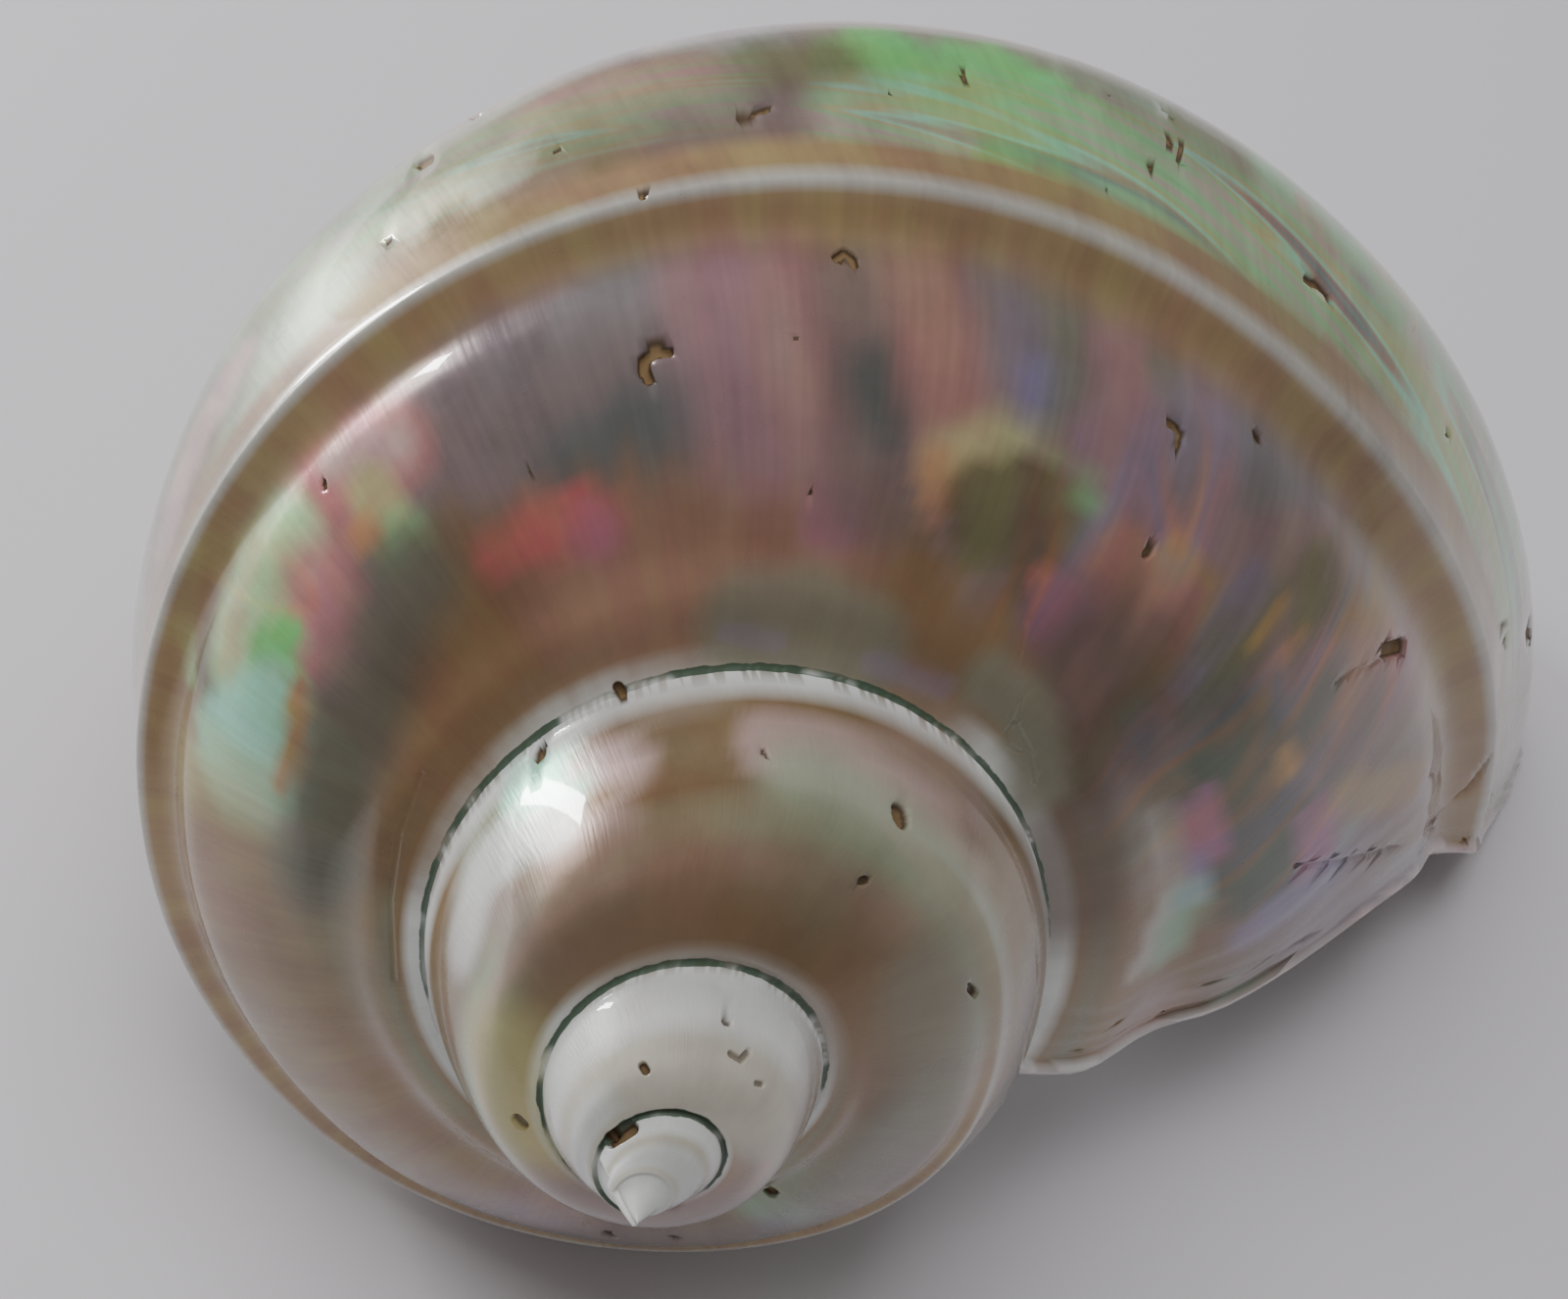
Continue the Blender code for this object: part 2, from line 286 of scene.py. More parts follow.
def wrapBody(bm):
    turns = turnsBetween(-1, -mesh["lipBack"], mesh["rowsPerTurn"])
    rows = [outerRow(turn, bodyAcross) for turn in turns]
    bands = [np.column_stack([lengthsAcross(row), np.full(len(row), farBand)]) for row in rows]
    places = wrapSheet(bm, rows, turns, bodyAcross, bands)
    return [vert for vert, (row, column) in places.items() if column == 0 or row == 0]


def sewSheets(bm, coarseEdges, fineVerts):   # gives the coarse border the fine border's vertices
    tree = KDTree(len(fineVerts))
    for index, vert in enumerate(fineVerts):
        tree.insert(vert.co, index)
    tree.balance()
    for item in bmesh.ops.subdivide_edges(bm, edges=coarseEdges, cuts=1)["geom_inner"]:
        if isinstance(item, bmesh.types.BMVert):
            item.co = tree.find(item.co)[0]


def rounded(ring, passes):   # each point drawn toward its neighbours, pass after pass
    for _ in range(passes):
        ring = (np.roll(ring, 1, axis=0) + 2 * ring + np.roll(ring, -1, axis=0)) / 4
    return ring


def hollowOutline(turn):
    steps = mesh["columellaSteps"]
    columella = [whorlSection(turn - step / steps)[-1] for step in range(1, steps)]
    before = sectionAt(turn - 1, bodyAcross)[:wallColumn - 1:-1]
    return np.concatenate([sectionAt(turn, bodyAcross), columella, before])


def hollowRing(turn):   # the whorl's own outline moved in by the wall and rounded
    outline = hollowOutline(turn)
    outer, columella = len(bodyAcross), mesh["columellaSteps"] - 1
    before = len(outline) - outer - columella
    wall = mixed(coil["wall"], coil["lipWall"], lipPart(turn))
    insets = [wall] * (outer - 1) + [coil["columella"]] * (columella + 2) + [coil["partition"]] * (before - 1)
    weights = np.linalg.norm(np.roll(outline, -1, axis=0) - np.roll(outline, 1, axis=0), axis=1)[:, None]
    inward = ((outline * weights).sum(0) / weights.sum() - outline)[:, :2]
    inward *= (np.array(insets) * whorlSize(turn) / np.linalg.norm(inward, axis=1))[:, None]
    ring = rounded(outline + np.column_stack([inward, np.zeros(len(outline))]), mesh["ringRounding"])
    inside = smoothStep(-turn / coil["mouthEase"])
    shares = rounded(np.array([1.0] * outer + [inside] * (columella + before)), mesh["shareRounding"])
    return placePoints(mixed(outline, ring, shares[:, None]), turn)


def wrapHollow(bm):   # the lip's rounded edge and the hollow behind it
    lip = -mesh["lipBack"]
    steps = mesh["columellaSteps"]
    edge = np.concatenate([outerRow(lip, bodyAcross), [axisPoint(-step / steps) for step in range(1, steps)],
                           outerRow(-1, bodyAcross)[:wallColumn - 1:-1]])
    inner = hollowRing(lip)
    forward = np.zeros(edge.shape)
    forward[:len(bodyAcross)] = outerRow(0, bodyAcross) - edge[:len(bodyAcross)]
    forward /= np.maximum(np.linalg.norm(forward, axis=1), 1e-9)[:, None]
    half = (edge - inner) / 2
    reach = np.linalg.norm(half, axis=1)[:, None]
    rows = []
    for step in range(mesh["lipRows"] + 1):
        angle = pi * step / mesh["lipRows"]
        rows.append(inner + half * (1 + np.cos(angle)) + forward * reach * np.sin(angle))
    turns = [lip] * len(rows)
    for turn in turnsBetween(-coil["hollowTurns"], lip, mesh["hollowRows"])[-2::-1]:
        rows.append(hollowRing(turn))
        turns.append(turn)
    rows = [np.concatenate([row, row[:1]]) for row in rows]
    across = np.linspace(3, 4, len(rows[0]))
    bands = np.full((len(rows), len(across), 2), farBand)
    places = wrapSheet(bm, rows, turns, across, bands)
    return [vert for vert, (row, _) in places.items() if row == len(rows) - 1]


def grownRing(bm, edges):   # the edges and the vertices of a new ring pulled out of another
    grown = bmesh.ops.extrude_edge_only(bm, edges=edges)["geom"]
    return ([item for item in grown if isinstance(item, bmesh.types.BMEdge)],
            [item for item in grown if isinstance(item, bmesh.types.BMVert)])


def drawIn(bm, edges, tip):   # closes an open ring of edges onto one point
    for share in mesh["closing"]:
        edges, verts = grownRing(bm, edges)
        for vert in verts:
            vert.co = vert.co.lerp(tip, share)
    bmesh.ops.pointmerge(bm, verts=grownRing(bm, edges)[1], merge_co=tip)


def restMatrix(points):   # lays the shell on its mouth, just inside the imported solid's box
    up, front = -Vector(coil["down"]).normalized(), Vector(coil["front"])
    back = (up * front.dot(up) - front).normalized()
    laid = Matrix((back.cross(up), back, up)).to_4x4()
    turned = points @ np.array(laid.to_3x3()).T
    low, high = turned.min(0), turned.max(0)
    boxLow, boxHigh = (np.array(corner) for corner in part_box("shell"))
    scale = coil["drawnIn"] * min((boxHigh - boxLow)[:2] / (high - low)[:2])
    move = (boxLow + boxHigh) / 2 - scale * (low + high) / 2
    move[2] = boxHigh[2] * coil["drawnIn"] - scale * high[2]
    return Matrix.Translation(move) @ Matrix.Scale(scale, 4) @ laid


def placesOf(bm):
    return np.array([vert.co for vert in bm.verts])


def sightLine(pixel):   # from the camera through a pixel of the photo
    facing = Euler([radians(angle) for angle in camera["turned"]]).to_matrix()
    reach = camera["lens"] / camera["sensor"] * photoSize[0]
    x, y = pixel[0] - photoSize[0] / 2, photoSize[1] / 2 - pixel[1]
    return Vector(camera["place"]), (facing @ Vector((x, y, -reach))).normalized()


def seenAt(tree, pixel):   # the place on the shell that shows at a pixel of the photo, or the nearest to it
    start, way = sightLine(pixel)
    return tree.ray_cast(start, way)[0] or tree.find_nearest(start + way * start.length)[0]


def nearPath(points, path):   # each point's distance from a line through places on the shell
    nearest = np.full(len(points), np.inf)
    for a, b in list(zip(path, path[1:])) or [(path[0], path[0])]:
        along = np.array(b - a)
        share = np.clip((points - np.array(a)) @ along / max(along @ along, 1e-12), 0, 1)
        nearest = np.minimum(nearest, np.linalg.norm(points - np.array(a) - share[:, None] * along, axis=1))
    return nearest


# Colours on the shell, as display values from 0 to 255.
pearl = dict(
    porcelain=(222, 225, 222), crest=(196, 192, 184), ivory=(206, 200, 184), tan=(146, 120, 86),
    brown=(134, 104, 72), darkBrown=(98, 74, 54), orangeBrown=(140, 106, 74), greyGreen=(138, 136, 116),
    mauve=(132, 112, 108), lavender=(138, 126, 138), lilac=(150, 134, 158), violet=(142, 132, 172),
    blueGrey=(134, 136, 148), teal=(86, 98, 96), slate=(98, 102, 92), olive=(122, 118, 80),
    darkGreen=(62, 82, 64), mint=(160, 224, 160), springGreen=(122, 244, 126), aqua=(168, 246, 212),
    paleMint=(178, 196, 168), paleYellow=(204, 198, 140), gold=(206, 168, 92), orange=(212, 146, 102),
    salmon=(188, 138, 126), coral=(208, 110, 106), rose=(222, 140, 142), palePink=(214, 184, 180),
    pink=(176, 130, 136), magenta=(178, 108, 150), white=(238, 240, 238), pitRim=(84, 66, 48),
    pitFloor=(136, 112, 80), keelBrown=(162, 134, 94), flame=(212, 255, 184),
)


def flush(path, reach, colour, strength=0.8, edge=1.1, ragged=0.35):
    return dict(path=path, reach=reach / 1000, colour=colour, strength=strength, edge=edge, ragged=ragged)


# Soft flushes of colour, a few of them painted highlights: the pixels of the photo that each runs through,
# its reach in millimetres, its colour and, where they aren't the usual ones, its strength, how soft its edge
# is and how ragged.
flushMarks = dict(
    lavenderFan=([(480, 480), (560, 380), (680, 330)], 13, "lavender"),
    lavenderFoot=([(470, 500), (600, 430)], 9, "mauve", 0.7),
    tealStreak=([(600, 480), (700, 440), (800, 410), (930, 400)], 5, "teal", 0.75),
    star=([(300, 500), (345, 487), (380, 462)], 4.6, "rose", 0.95),
    # partly the star's pale pink tip and partly a painted highlight where the lamp's reflection lies on it
    starTip=([(345, 468), (398, 455)], 2.2, "palePink"),
    starYellow=([(378, 498), (390, 525)], 2.4, "paleYellow", 0.9),
    starGreen=([(412, 552)], 2.6, "mint", 0.9),
    starOrange=([(370, 548)], 1.9, "orange", 0.9),
    hook=([(262, 508), (300, 535), (318, 556)], 1.6, "aqua"),
    slateFoot=([(252, 540), (205, 620), (196, 680)], 4, "slate", 0.9),
    slateLow=([(190, 740), (185, 800)], 4, "tan", 0.8),
    mintUpper=([(280, 565), (258, 655)], 5.2, "flame", 1.0, 0.8, 0.2),
    paleEdge=([(262, 560), (238, 640), (232, 700)], 1.2, "paleYellow", 0.7, 0.6),
    pinkUpper=([(322, 590), (328, 640)], 4.2, "rose", 0.9),
    mintCore=([(284, 668), (280, 706)], 3.6, "springGreen", 1.0, 0.5, 0.3),
    aquaLower=([(270, 730), (236, 765), (255, 800)], 5.0, "aqua", 0.95, 0.6, 0.25),
    greenEdge=([(298, 700), (302, 740), (296, 765)], 0.8, "springGreen", 0.9, 0.6),
    pinkEdge=([(366, 602), (345, 632), (315, 672)], 1.4, "rose", 0.95),
    orangeEdge=([(305, 705), (301, 760), (285, 797)], 1.3, "orange", 0.9),
    tanBeside=([(478, 600), (440, 720), (400, 840)], 6.5, "brown", 0.8),
    paleFoot=([(195, 815), (245, 852)], 6.5, "paleYellow", 0.6),
    pinkFoot=([(190, 890), (245, 912)], 5, "palePink", 0.75),
    greenThread=([(196, 560), (188, 640), (195, 690)], 0.9, "mint", 0.9),
    greyFoot=([(300, 910), (330, 1010)], 7, "greyGreen", 0.7),
    tanFoot=([(228, 900), (270, 1000), (350, 1110), (440, 1175)], 8, "tan", 0.8, 1.0, 0.1),
    mauveFoot=([(490, 1196), (600, 1238), (720, 1245)], 6, "mauve", 0.8),
    greenFoot=([(860, 1205), (930, 1150)], 6, "greyGreen", 0.8),
    orangeArc=([(450, 700), (500, 640), (600, 596), (720, 588), (840, 606), (950, 680)],
               8.5, "orangeBrown", 0.9),
    redArc=([(620, 596), (760, 556), (830, 540)], 7, "salmon", 0.35),
    magentaArc=([(850, 528)], 3, "magenta", 0.5),
    coralFlame=([(506, 568), (548, 552)], 1.9, "coral", 0.65, 1.2, 0.1),
    coralBody=([(556, 538), (598, 532)], 2.9, "coral", 0.7, 1.2, 0.1),
    coralTip=([(586, 506), (590, 524)], 1.2, "coral", 0.6, 1.0, 0.1),
    coralFoot=([(606, 546)], 2.4, "magenta", 0.4, 1.2, 0.1),
    slateBeside=([(412, 590), (380, 665), (345, 780), (325, 880)], 4.6, "slate", 0.75, 1.2, 0.15),
    palePatch=([(772, 640), (825, 638), (868, 660)], 5.2, "greyGreen", 0.8, 0.7, 0.1),
    lilacSliver=([(742, 646), (792, 655)], 1.0, "lilac", 0.4),
    lilacSliverRight=([(892, 676), (962, 702)], 1.2, "lilac", 0.45),
    pinkFan=([(755, 300), (780, 360), (800, 425)], 7, "pink", 0.8),
    salmonFan=([(850, 300), (862, 380)], 6, "salmon", 0.6),
    greyFan=([(880, 290), (890, 400), (900, 500)], 5, "mauve", 0.7),
    tealSpot=([(900, 388), (912, 412)], 4, "teal", 0.75),
    roseFan=([(950, 280), (970, 360), (990, 432)], 5.2, "salmon", 0.9),
    violetFan=([(1038, 280), (1060, 360), (1080, 440)], 5.6, "lavender", 0.9),
    violetCore=([(1068, 395), (1076, 442)], 3, "violet", 0.8),
    yellowRim=([(975, 472), (1020, 455), (1062, 476)], 3, "paleYellow", 0.7),
    orangeRim=([(955, 478), (960, 512)], 1.9, "orange", 0.6),
    greenPatch=([(1098, 500), (1106, 530)], 3.1, "springGreen", 0.6, 0.5),
    darkLobe=([(1012, 520), (1050, 518), (1080, 560), (1090, 622)], 4.6, "darkBrown", 0.85, 0.6, 0.2),
    oliveLobe=([(1010, 505), (1010, 560)], 3, "olive", 0.8),
    greyFold=([(1090, 310), (1112, 380), (1110, 432)], 4, "greyGreen", 0.8),
    pinkFold=([(1150, 362), (1160, 430), (1132, 462)], 4, "pink", 0.85),
    pinkFine=([(1242, 372), (1230, 432)], 3, "pink", 0.85),
    greyFine=([(1190, 380), (1216, 442)], 2.5, "greyGreen", 0.8),
    lilacWide=([(1200, 540), (1280, 480), (1350, 450)], 10, "lilac", 0.85, 0.8, 0.35),
    pinkWide=([(1180, 600), (1290, 540), (1385, 520)], 8, "pink", 0.7, 0.8, 0.35),
    blueWide=([(1290, 470), (1370, 472), (1402, 522)], 5, "blueGrey", 0.8, 0.8, 0.35),
    orangeTongues=([(1150, 580), (1175, 602), (1182, 642)], 3.6, "orange", 0.8, 0.5, 0.6),
    yellowTongues=([(1200, 578), (1216, 612)], 3.2, "gold", 0.7, 0.5, 0.6),
    pinkTongues=([(1190, 642), (1202, 620)], 2.6, "rose", 0.7, 0.5, 0.6),
    redDab=([(1064, 590), (1076, 612)], 1.6, "coral", 0.7),
    pinkDab=([(1075, 626), (1092, 652)], 3, "magenta", 0.7),
    mauveTrail=([(1100, 680), (1162, 732)], 4, "mauve", 0.8),
    darkRight=([(1135, 680), (1125, 800), (1100, 900)], 8.5, "darkBrown", 0.8),
    aquaDab=([(1154, 734), (1166, 757)], 2, "teal", 0.5),
    violetSpike=([(1230, 692), (1246, 650), (1282, 600)], 2.6, "violet", 0.8),
    oliveFan=([(1270, 692), (1332, 620), (1402, 580)], 6, "olive", 0.8, 0.7, 0.5),
    oliveBright=([(1350, 650), (1402, 620)], 4, "olive", 0.9, 0.6, 0.5),
    goldThread=([(1280, 656), (1312, 610)], 1, "gold", 0.8),
    orangeThread=([(1290, 692), (1322, 655)], 1, "orange", 0.8),
    pinkBelow=([(1345, 702), (1400, 690), (1442, 700)], 4.6, "pink", 0.85),
    mauveBelow=([(1360, 742), (1430, 762)], 6, "mauve", 0.8),
    darkGreenHead=([(1240, 742), (1332, 740)], 5, "slate", 0.9),
    darkGreenBody=([(1262, 780), (1280, 850), (1302, 882)], 6.6, "darkGreen", 0.95, 0.5, 0.3),
    magentaPatch=([(1228, 820), (1231, 872)], 2.4, "magenta", 0.8, 0.6),
    violetFoot=([(1222, 884), (1217, 912)], 1.9, "violet", 0.85),
    magentaSmall=([(1338, 838), (1346, 882)], 2.5, "magenta", 0.8, 0.5),
    goldDab=([(1308, 775), (1312, 792)], 1.5, "gold", 0.8),
    aquaFoot=([(1206, 920), (1190, 962)], 3.0, "aqua", 0.4),
    blueFoot=([(1350, 895), (1302, 930), (1284, 946)], 2.7, "violet", 0.8),
    lipLilac=([(1420, 902), (1480, 852), (1518, 785)], 4.2, "lavender", 0.8),
    goldGlints=([(1370, 815), (1442, 800)], 2.6, "gold", 0.4),
    foldLine=([(1180, 830), (1196, 902), (1160, 990)], 1.4, "crest", 0.55),
    scarTan=([(1012, 700), (1048, 722), (1062, 800)], 3, "greyGreen", 0.85),
    mintBlock=([(905, 75), (960, 108), (1040, 100), (1120, 150)], 7, "springGreen", 0.75, 0.45, 0.6),
    mintTongue=([(880, 128), (962, 140)], 3, "paleMint", 0.85, 0.5, 0.6),
    mintTail=([(1150, 180), (1240, 240), (1332, 312)], 5, "mint", 0.85, 0.6, 0.5),
    mintRight=([(1310, 190), (1402, 300), (1482, 432), (1542, 580)], 5.4, "mint", 0.7, 0.8, 0.5),
    pinkStreak=([(1268, 220), (1291, 252)], 1.6, "orange", 0.75, 0.6, 0.5),
    pinkStreakRight=([(1330, 210), (1360, 268), (1371, 302)], 1.6, "rose", 0.6, 0.6, 0.5),
    pinkStreakLow=([(1442, 342), (1462, 392), (1482, 432)], 2.1, "palePink", 0.85, 0.6, 0.5),
    pinkStreakLip=([(1506, 440), (1521, 520), (1521, 602)], 2.1, "palePink", 0.85, 0.6, 0.5),
    yellowStreak=([(1400, 262), (1442, 322)], 2, "paleYellow", 0.7, 0.6, 0.5),
    blueStreak=([(1390, 292), (1411, 322)], 1.5, "blueGrey", 0.8),
    purpleBand=([(620, 112), (740, 120), (850, 110)], 7, "mauve", 0.9),
    salmonBand=([(560, 112), (620, 87), (700, 76)], 4, "salmon", 0.85),
    oliveBand=([(850, 60), (780, 66)], 3.5, "olive", 0.8),
    oliveWide=([(580, 165), (480, 192), (420, 250)], 6, "olive", 0.55),
    mintLeft=([(330, 300), (270, 400), (232, 482)], 5, "paleMint", 0.85),
    # painted highlights: two ivory patches on the wall above the keel, standing in for the lamp's reflection
    yellowPatch=([(420, 216), (442, 200)], 3, "ivory", 0.8, 0.5),
    yellowPatchHigh=([(492, 184), (522, 164)], 2.6, "ivory", 0.7, 0.5),
    pinkLeft=([(240, 372), (200, 452), (172, 540)], 3, "palePink", 0.85),
    spireMint=([(540, 802), (580, 790)], 3.2, "aqua", 0.9, 0.6),
    spirePinkTop=([(602, 776), (640, 780)], 2.6, "palePink", 0.9),
    spirePinkLow=([(622, 850), (580, 882)], 3, "palePink", 0.9),
    spirePink=([(800, 760), (862, 780), (932, 830), (982, 902)], 4.3, "palePink", 0.8, 0.6),
    spirePale=([(830, 802), (902, 842), (962, 902), (1000, 962)], 4.6, "paleMint", 0.7),
    spireRed=([(700, 890)], 4, "salmon", 0.6),
    spireBrown=([(620, 922), (700, 902), (800, 922), (880, 982), (922, 1050)], 8, "brown", 0.75),
    spireYellow=([(505, 1080), (530, 1140), (580, 1182)], 5, "paleYellow", 0.6),
    spireGrey=([(960, 1002), (970, 1080)], 6, "greyGreen", 0.7),
    # painted highlight: a white streak along the next whorl's keel, standing in for the lamp's reflection
    spireWhite=([(472, 960), (492, 882), (560, 842)], 3, "white", 0.75),
    whorlTan=([(655, 1104), (722, 1110), (792, 1150)], 3, "ivory", 0.9),
)
flushes = {name: flush(*mark) for name, mark in flushMarks.items()}


def pit(path, wide, deep=0.8, dark=0.9):
    return dict(path=path, wide=wide / 1000, deep=deep / 1000, dark=dark)


# Worm holes and pits: the pixels of the photo that each runs through, its width and depth in millimetres,
# and how dark it is where that isn't the usual 0.9.
pitMarks = dict(
    shoulderCrescent=([(682, 358), (668, 358), (657, 367), (657, 378), (662, 386)], 1.2, 1.0),
    crestCrescent=([(853, 262), (862, 256), (870, 262), (872, 270)], 0.9, 0.7),
    rightCrescent=([(1192, 430), (1201, 434), (1206, 443), (1204, 453)], 0.9, 0.8),
    rightRound=([(1284, 444), (1286, 446)], 1.5, 1.1),
    middleSmall=([(1171, 565), (1175, 561)], 1.1, 0.8, 0.7),
    lowRight=([(1414, 664), (1432, 659)], 1.7, 0.9),
    lowRightCrack=([(1412, 668), (1398, 680), (1380, 684), (1362, 697)], 0.5, 0.14, 0.14),
    inStar=([(329, 491), (331, 497)], 0.6, 0.6),
    dotLeft=([(539, 478)], 0.5, 0.5),
    dotMiddle=([(827, 502)], 0.5, 0.5),
    dotTop=([(812, 345)], 0.4, 0.4),
    dotRight=([(1003, 351)], 0.4, 0.4),
    spireBySuture=([(631, 702), (634, 706)], 1.0, 0.8),
    spireBandHole=([(549, 760), (549, 772)], 1.6, 1.2),
    spireOval=([(920, 828), (921, 835)], 2.1, 0.9, 0.75),
    spireFaint=([(880, 900), (885, 898)], 0.9, 0.5, 0.6),
    spireDot=([(838, 754)], 0.5, 0.4),
    spireNick=([(779, 764), (781, 770)], 0.6, 0.4, 0.6),
    whorlHole=([(741, 1042), (743, 1043)], 0.9, 0.6, 0.5),
    whorlCrescent=([(746, 1076), (756, 1082), (764, 1074)], 0.7, 0.4, 0.4),
    whorlNick=([(656, 1088), (659, 1093)], 0.8, 0.6, 0.7),
    whorlFaint=([(772, 1106), (778, 1107)], 0.6, 0.3, 0.4),
    tipSuture=([(624, 1164), (634, 1158), (643, 1152)], 1.4, 1.0, 0.75),
    spireEdge=([(528, 1143), (533, 1148)], 1.1, 0.5, 0.4),
    rightEdge=([(990, 1008), (995, 1014)], 0.9, 0.5, 0.6),
    footRight=([(785, 1216), (789, 1219)], 1.1, 0.7),
    footLeft=([(620, 1261), (625, 1263)], 1.2, 0.7),
    footMiddle=([(686, 1263), (691, 1265)], 1.2, 0.7),
    wallHook=([(752, 118), (768, 116), (784, 110)], 0.8, 0.5, 0.8),
    wallLeft=([(482, 120), (487, 119)], 0.9, 0.6),
    wallNotch=([(430, 165), (438, 160)], 1.1, 0.7),
    wallDot=([(393, 248), (396, 247)], 0.7, 0.5),
    wallDotHigh=([(655, 200), (656, 201)], 0.7, 0.4),
    wallFar=([(565, 155), (572, 152)], 0.7, 0.4),
    wallOval=([(1183, 109), (1192, 114), (1200, 122)], 0.7, 0.3, 0.4),
    wallSlot=([(1192, 143), (1201, 146), (1208, 151)], 0.35, 0.3, 0.8),
    wallSlotLow=([(1164, 163), (1173, 168), (1181, 176)], 0.35, 0.3, 0.8),
    wallSlotHigh=([(1126, 94), (1134, 98)], 0.35, 0.3, 0.8),
    wallRound=([(1202, 167), (1205, 169)], 0.7, 0.5),
    wallFaint=([(1126, 190), (1130, 193)], 0.6, 0.3, 0.6),
    wallBean=([(1334, 284), (1346, 290), (1357, 302)], 1.3, 0.9),
    wallSpeckA=([(984, 75)], 0.5, 0.4),
    wallSpeckB=([(978, 112)], 0.6, 0.4),
    wallSpeckC=([(907, 93)], 0.6, 0.4),
    wallSpeckD=([(1046, 103)], 0.6, 0.4),
    wallSpeckE=([(1441, 333)], 0.6, 0.4),
    wallSpeckF=([(1467, 390), (1469, 394)], 0.6, 0.4),
    wallSpeckG=([(1476, 441), (1477, 446)], 0.5, 0.4),
    lipSlot=([(1534, 640), (1535, 660)], 0.7, 0.5),
    lipOval=([(1560, 634), (1562, 652)], 1.0, 0.5),
    wornTip=([(655, 1230), (668, 1228), (680, 1226)], 2.9, 0.25, 0.62),
    formerLip=([(1322, 884), (1372, 878), (1420, 868), (1468, 840), (1500, 806), (1520, 778)],
               0.7, 0.30, 0.12),
    lipLine=([(1140, 1048), (1240, 1005), (1340, 958), (1440, 905), (1500, 862)], 0.45, 0.18, 0.12),
    lipLineLow=([(1100, 1076), (1200, 1040), (1300, 995), (1400, 945), (1480, 898)], 0.45, 0.18, 0.14),
    repairScar=([(1050, 590), (1044, 612), (1049, 640), (1040, 676), (1046, 708), (1036, 738), (1050, 765),
                 (1056, 800)], 0.6, 0.12, 0.13),
    repairBranch=([(1036, 738), (1027, 748), (1030, 762), (1041, 768)], 0.5, 0.12, 0.13),
    grooveLeft=([(430, 790), (408, 850), (398, 920), (402, 1000)], 0.5, 0.15, 0.1),
)
pits = {name: pit(*mark) for name, mark in pitMarks.items()}


fineness = dict(margin=0.00035, cuts=(2, 1))   # the finer mesh around a pit: metres, and cuts of an edge


def layPaths(tree, marks):   # the places on the shell of each mark's path
    return {name: [seenAt(tree, pixel) for pixel in mark["path"]] for name, mark in marks.items()}


def refinePits(bm, paths, laid):
    turnLayer, acrossLayer = bm.verts.layers.float["turn"], bm.verts.layers.float["across"]
    for cuts in fineness["cuts"]:
        edges = [edge for edge in bm.edges if not edge.is_boundary and edge.verts[0][acrossLayer] <= 2]
        middles = np.array([(edge.verts[0].co + edge.verts[1].co) / 2 for edge in edges])
        near = np.zeros(len(edges), bool)
        for name, path in paths.items():
            near |= nearPath(middles, path) < pits[name]["wide"] / 2 + fineness["margin"]
        chosen = [edge for edge, isNear in zip(edges, near) if isNear]
        inner = bmesh.ops.subdivide_edges(bm, edges=chosen, cuts=cuts, use_grid_fill=True)["geom_inner"]
        byTurn = {}
        for item in inner:
            if isinstance(item, bmesh.types.BMVert):
                byTurn.setdefault(round(item[turnLayer], 5), []).append(item)
        for turn, verts in byTurn.items():
            spots = placePoints(sectionAt(turn, np.array([vert[acrossLayer] for vert in verts])), turn)
            for vert, spot in zip(verts, spots):
                vert.co = laid @ Vector(spot)
    print("made finer around", len(paths), "pits:", len(bm.faces), "faces")


def closeEnds(bm, tip):   # the worn tip and the hollow's inner end
    turnLayer, bandMap = bm.verts.layers.float["turn"], bm.loops.layers.uv["bands"]
    openEdges = [edge for edge in bm.edges if edge.is_boundary]
    tipEdges = [edge for edge in openEdges if edge.verts[0][turnLayer] < -2]
    innerVerts = {vert for edge in openEdges if edge.verts[0][turnLayer] > -1 for vert in edge.verts}
    sheets = len(bm.faces)
    drawIn(bm, [edge for edge in openEdges if edge not in tipEdges],
           sum((vert.co for vert in innerVerts), Vector()) / len(innerVerts))
    drawIn(bm, tipEdges, tip)
    for face in list(bm.faces)[sheets:]:
        for loop in face.loops:
            loop[bandMap].uv = farBand, farBand


def wrapShell():
    bm = bmesh.new()
    for name in ("turn", "across"):
        bm.verts.layers.float.new(name)
    for name in ("growth", "bands"):
        bm.loops.layers.uv.new(name)
    coarse = wrapSpire(bm)
    fine = wrapBody(bm)
    sewSheets(bm, coarse, fine)
    wrapHollow(bm)
    turn = coil["apexTurn"]
    tip = placePoints(np.array([[0, 0, turn]]), turn)
    laid = restMatrix(np.concatenate([placesOf(bm), tip]))
    bm.transform(laid)
    print("sheets wrapped:", len(bm.verts), "places")
    tree = BVHTree.FromBMesh(bm)
    pitPaths, flushPaths = layPaths(tree, pits), layPaths(tree, flushes)
    streakPaths = layPaths(tree, streakZones)
    refinePits(bm, pitPaths, laid)
    bmesh.ops.remove_doubles(bm, verts=bm.verts, dist=mesh["weld"])
    bmesh.ops.dissolve_degenerate(bm, edges=bm.edges, dist=mesh["weld"])
    closeEnds(bm, laid @ Vector(tip[0]))
    bmesh.ops.recalc_face_normals(bm, faces=bm.faces)
    for face in bm.faces:
        face.smooth = True
    print("open edges:", sum(edge.is_boundary for edge in bm.edges))
    return bm, pitPaths, flushPaths, streakPaths


def noiseAt(points, size, seed):   # smooth noise from -1 to 1, with lumps of a size
    return np.array([noise.noise(Vector(point) / size + Vector((seed, seed, seed))) for point in points])


def streakNoise(turn, across, perTurn, perWidth, seed):   # noise drawn out along the growth lines
    return np.array([noise.noise((t * perTurn, a * perWidth, seed)) for t, a in zip(turn, across)])


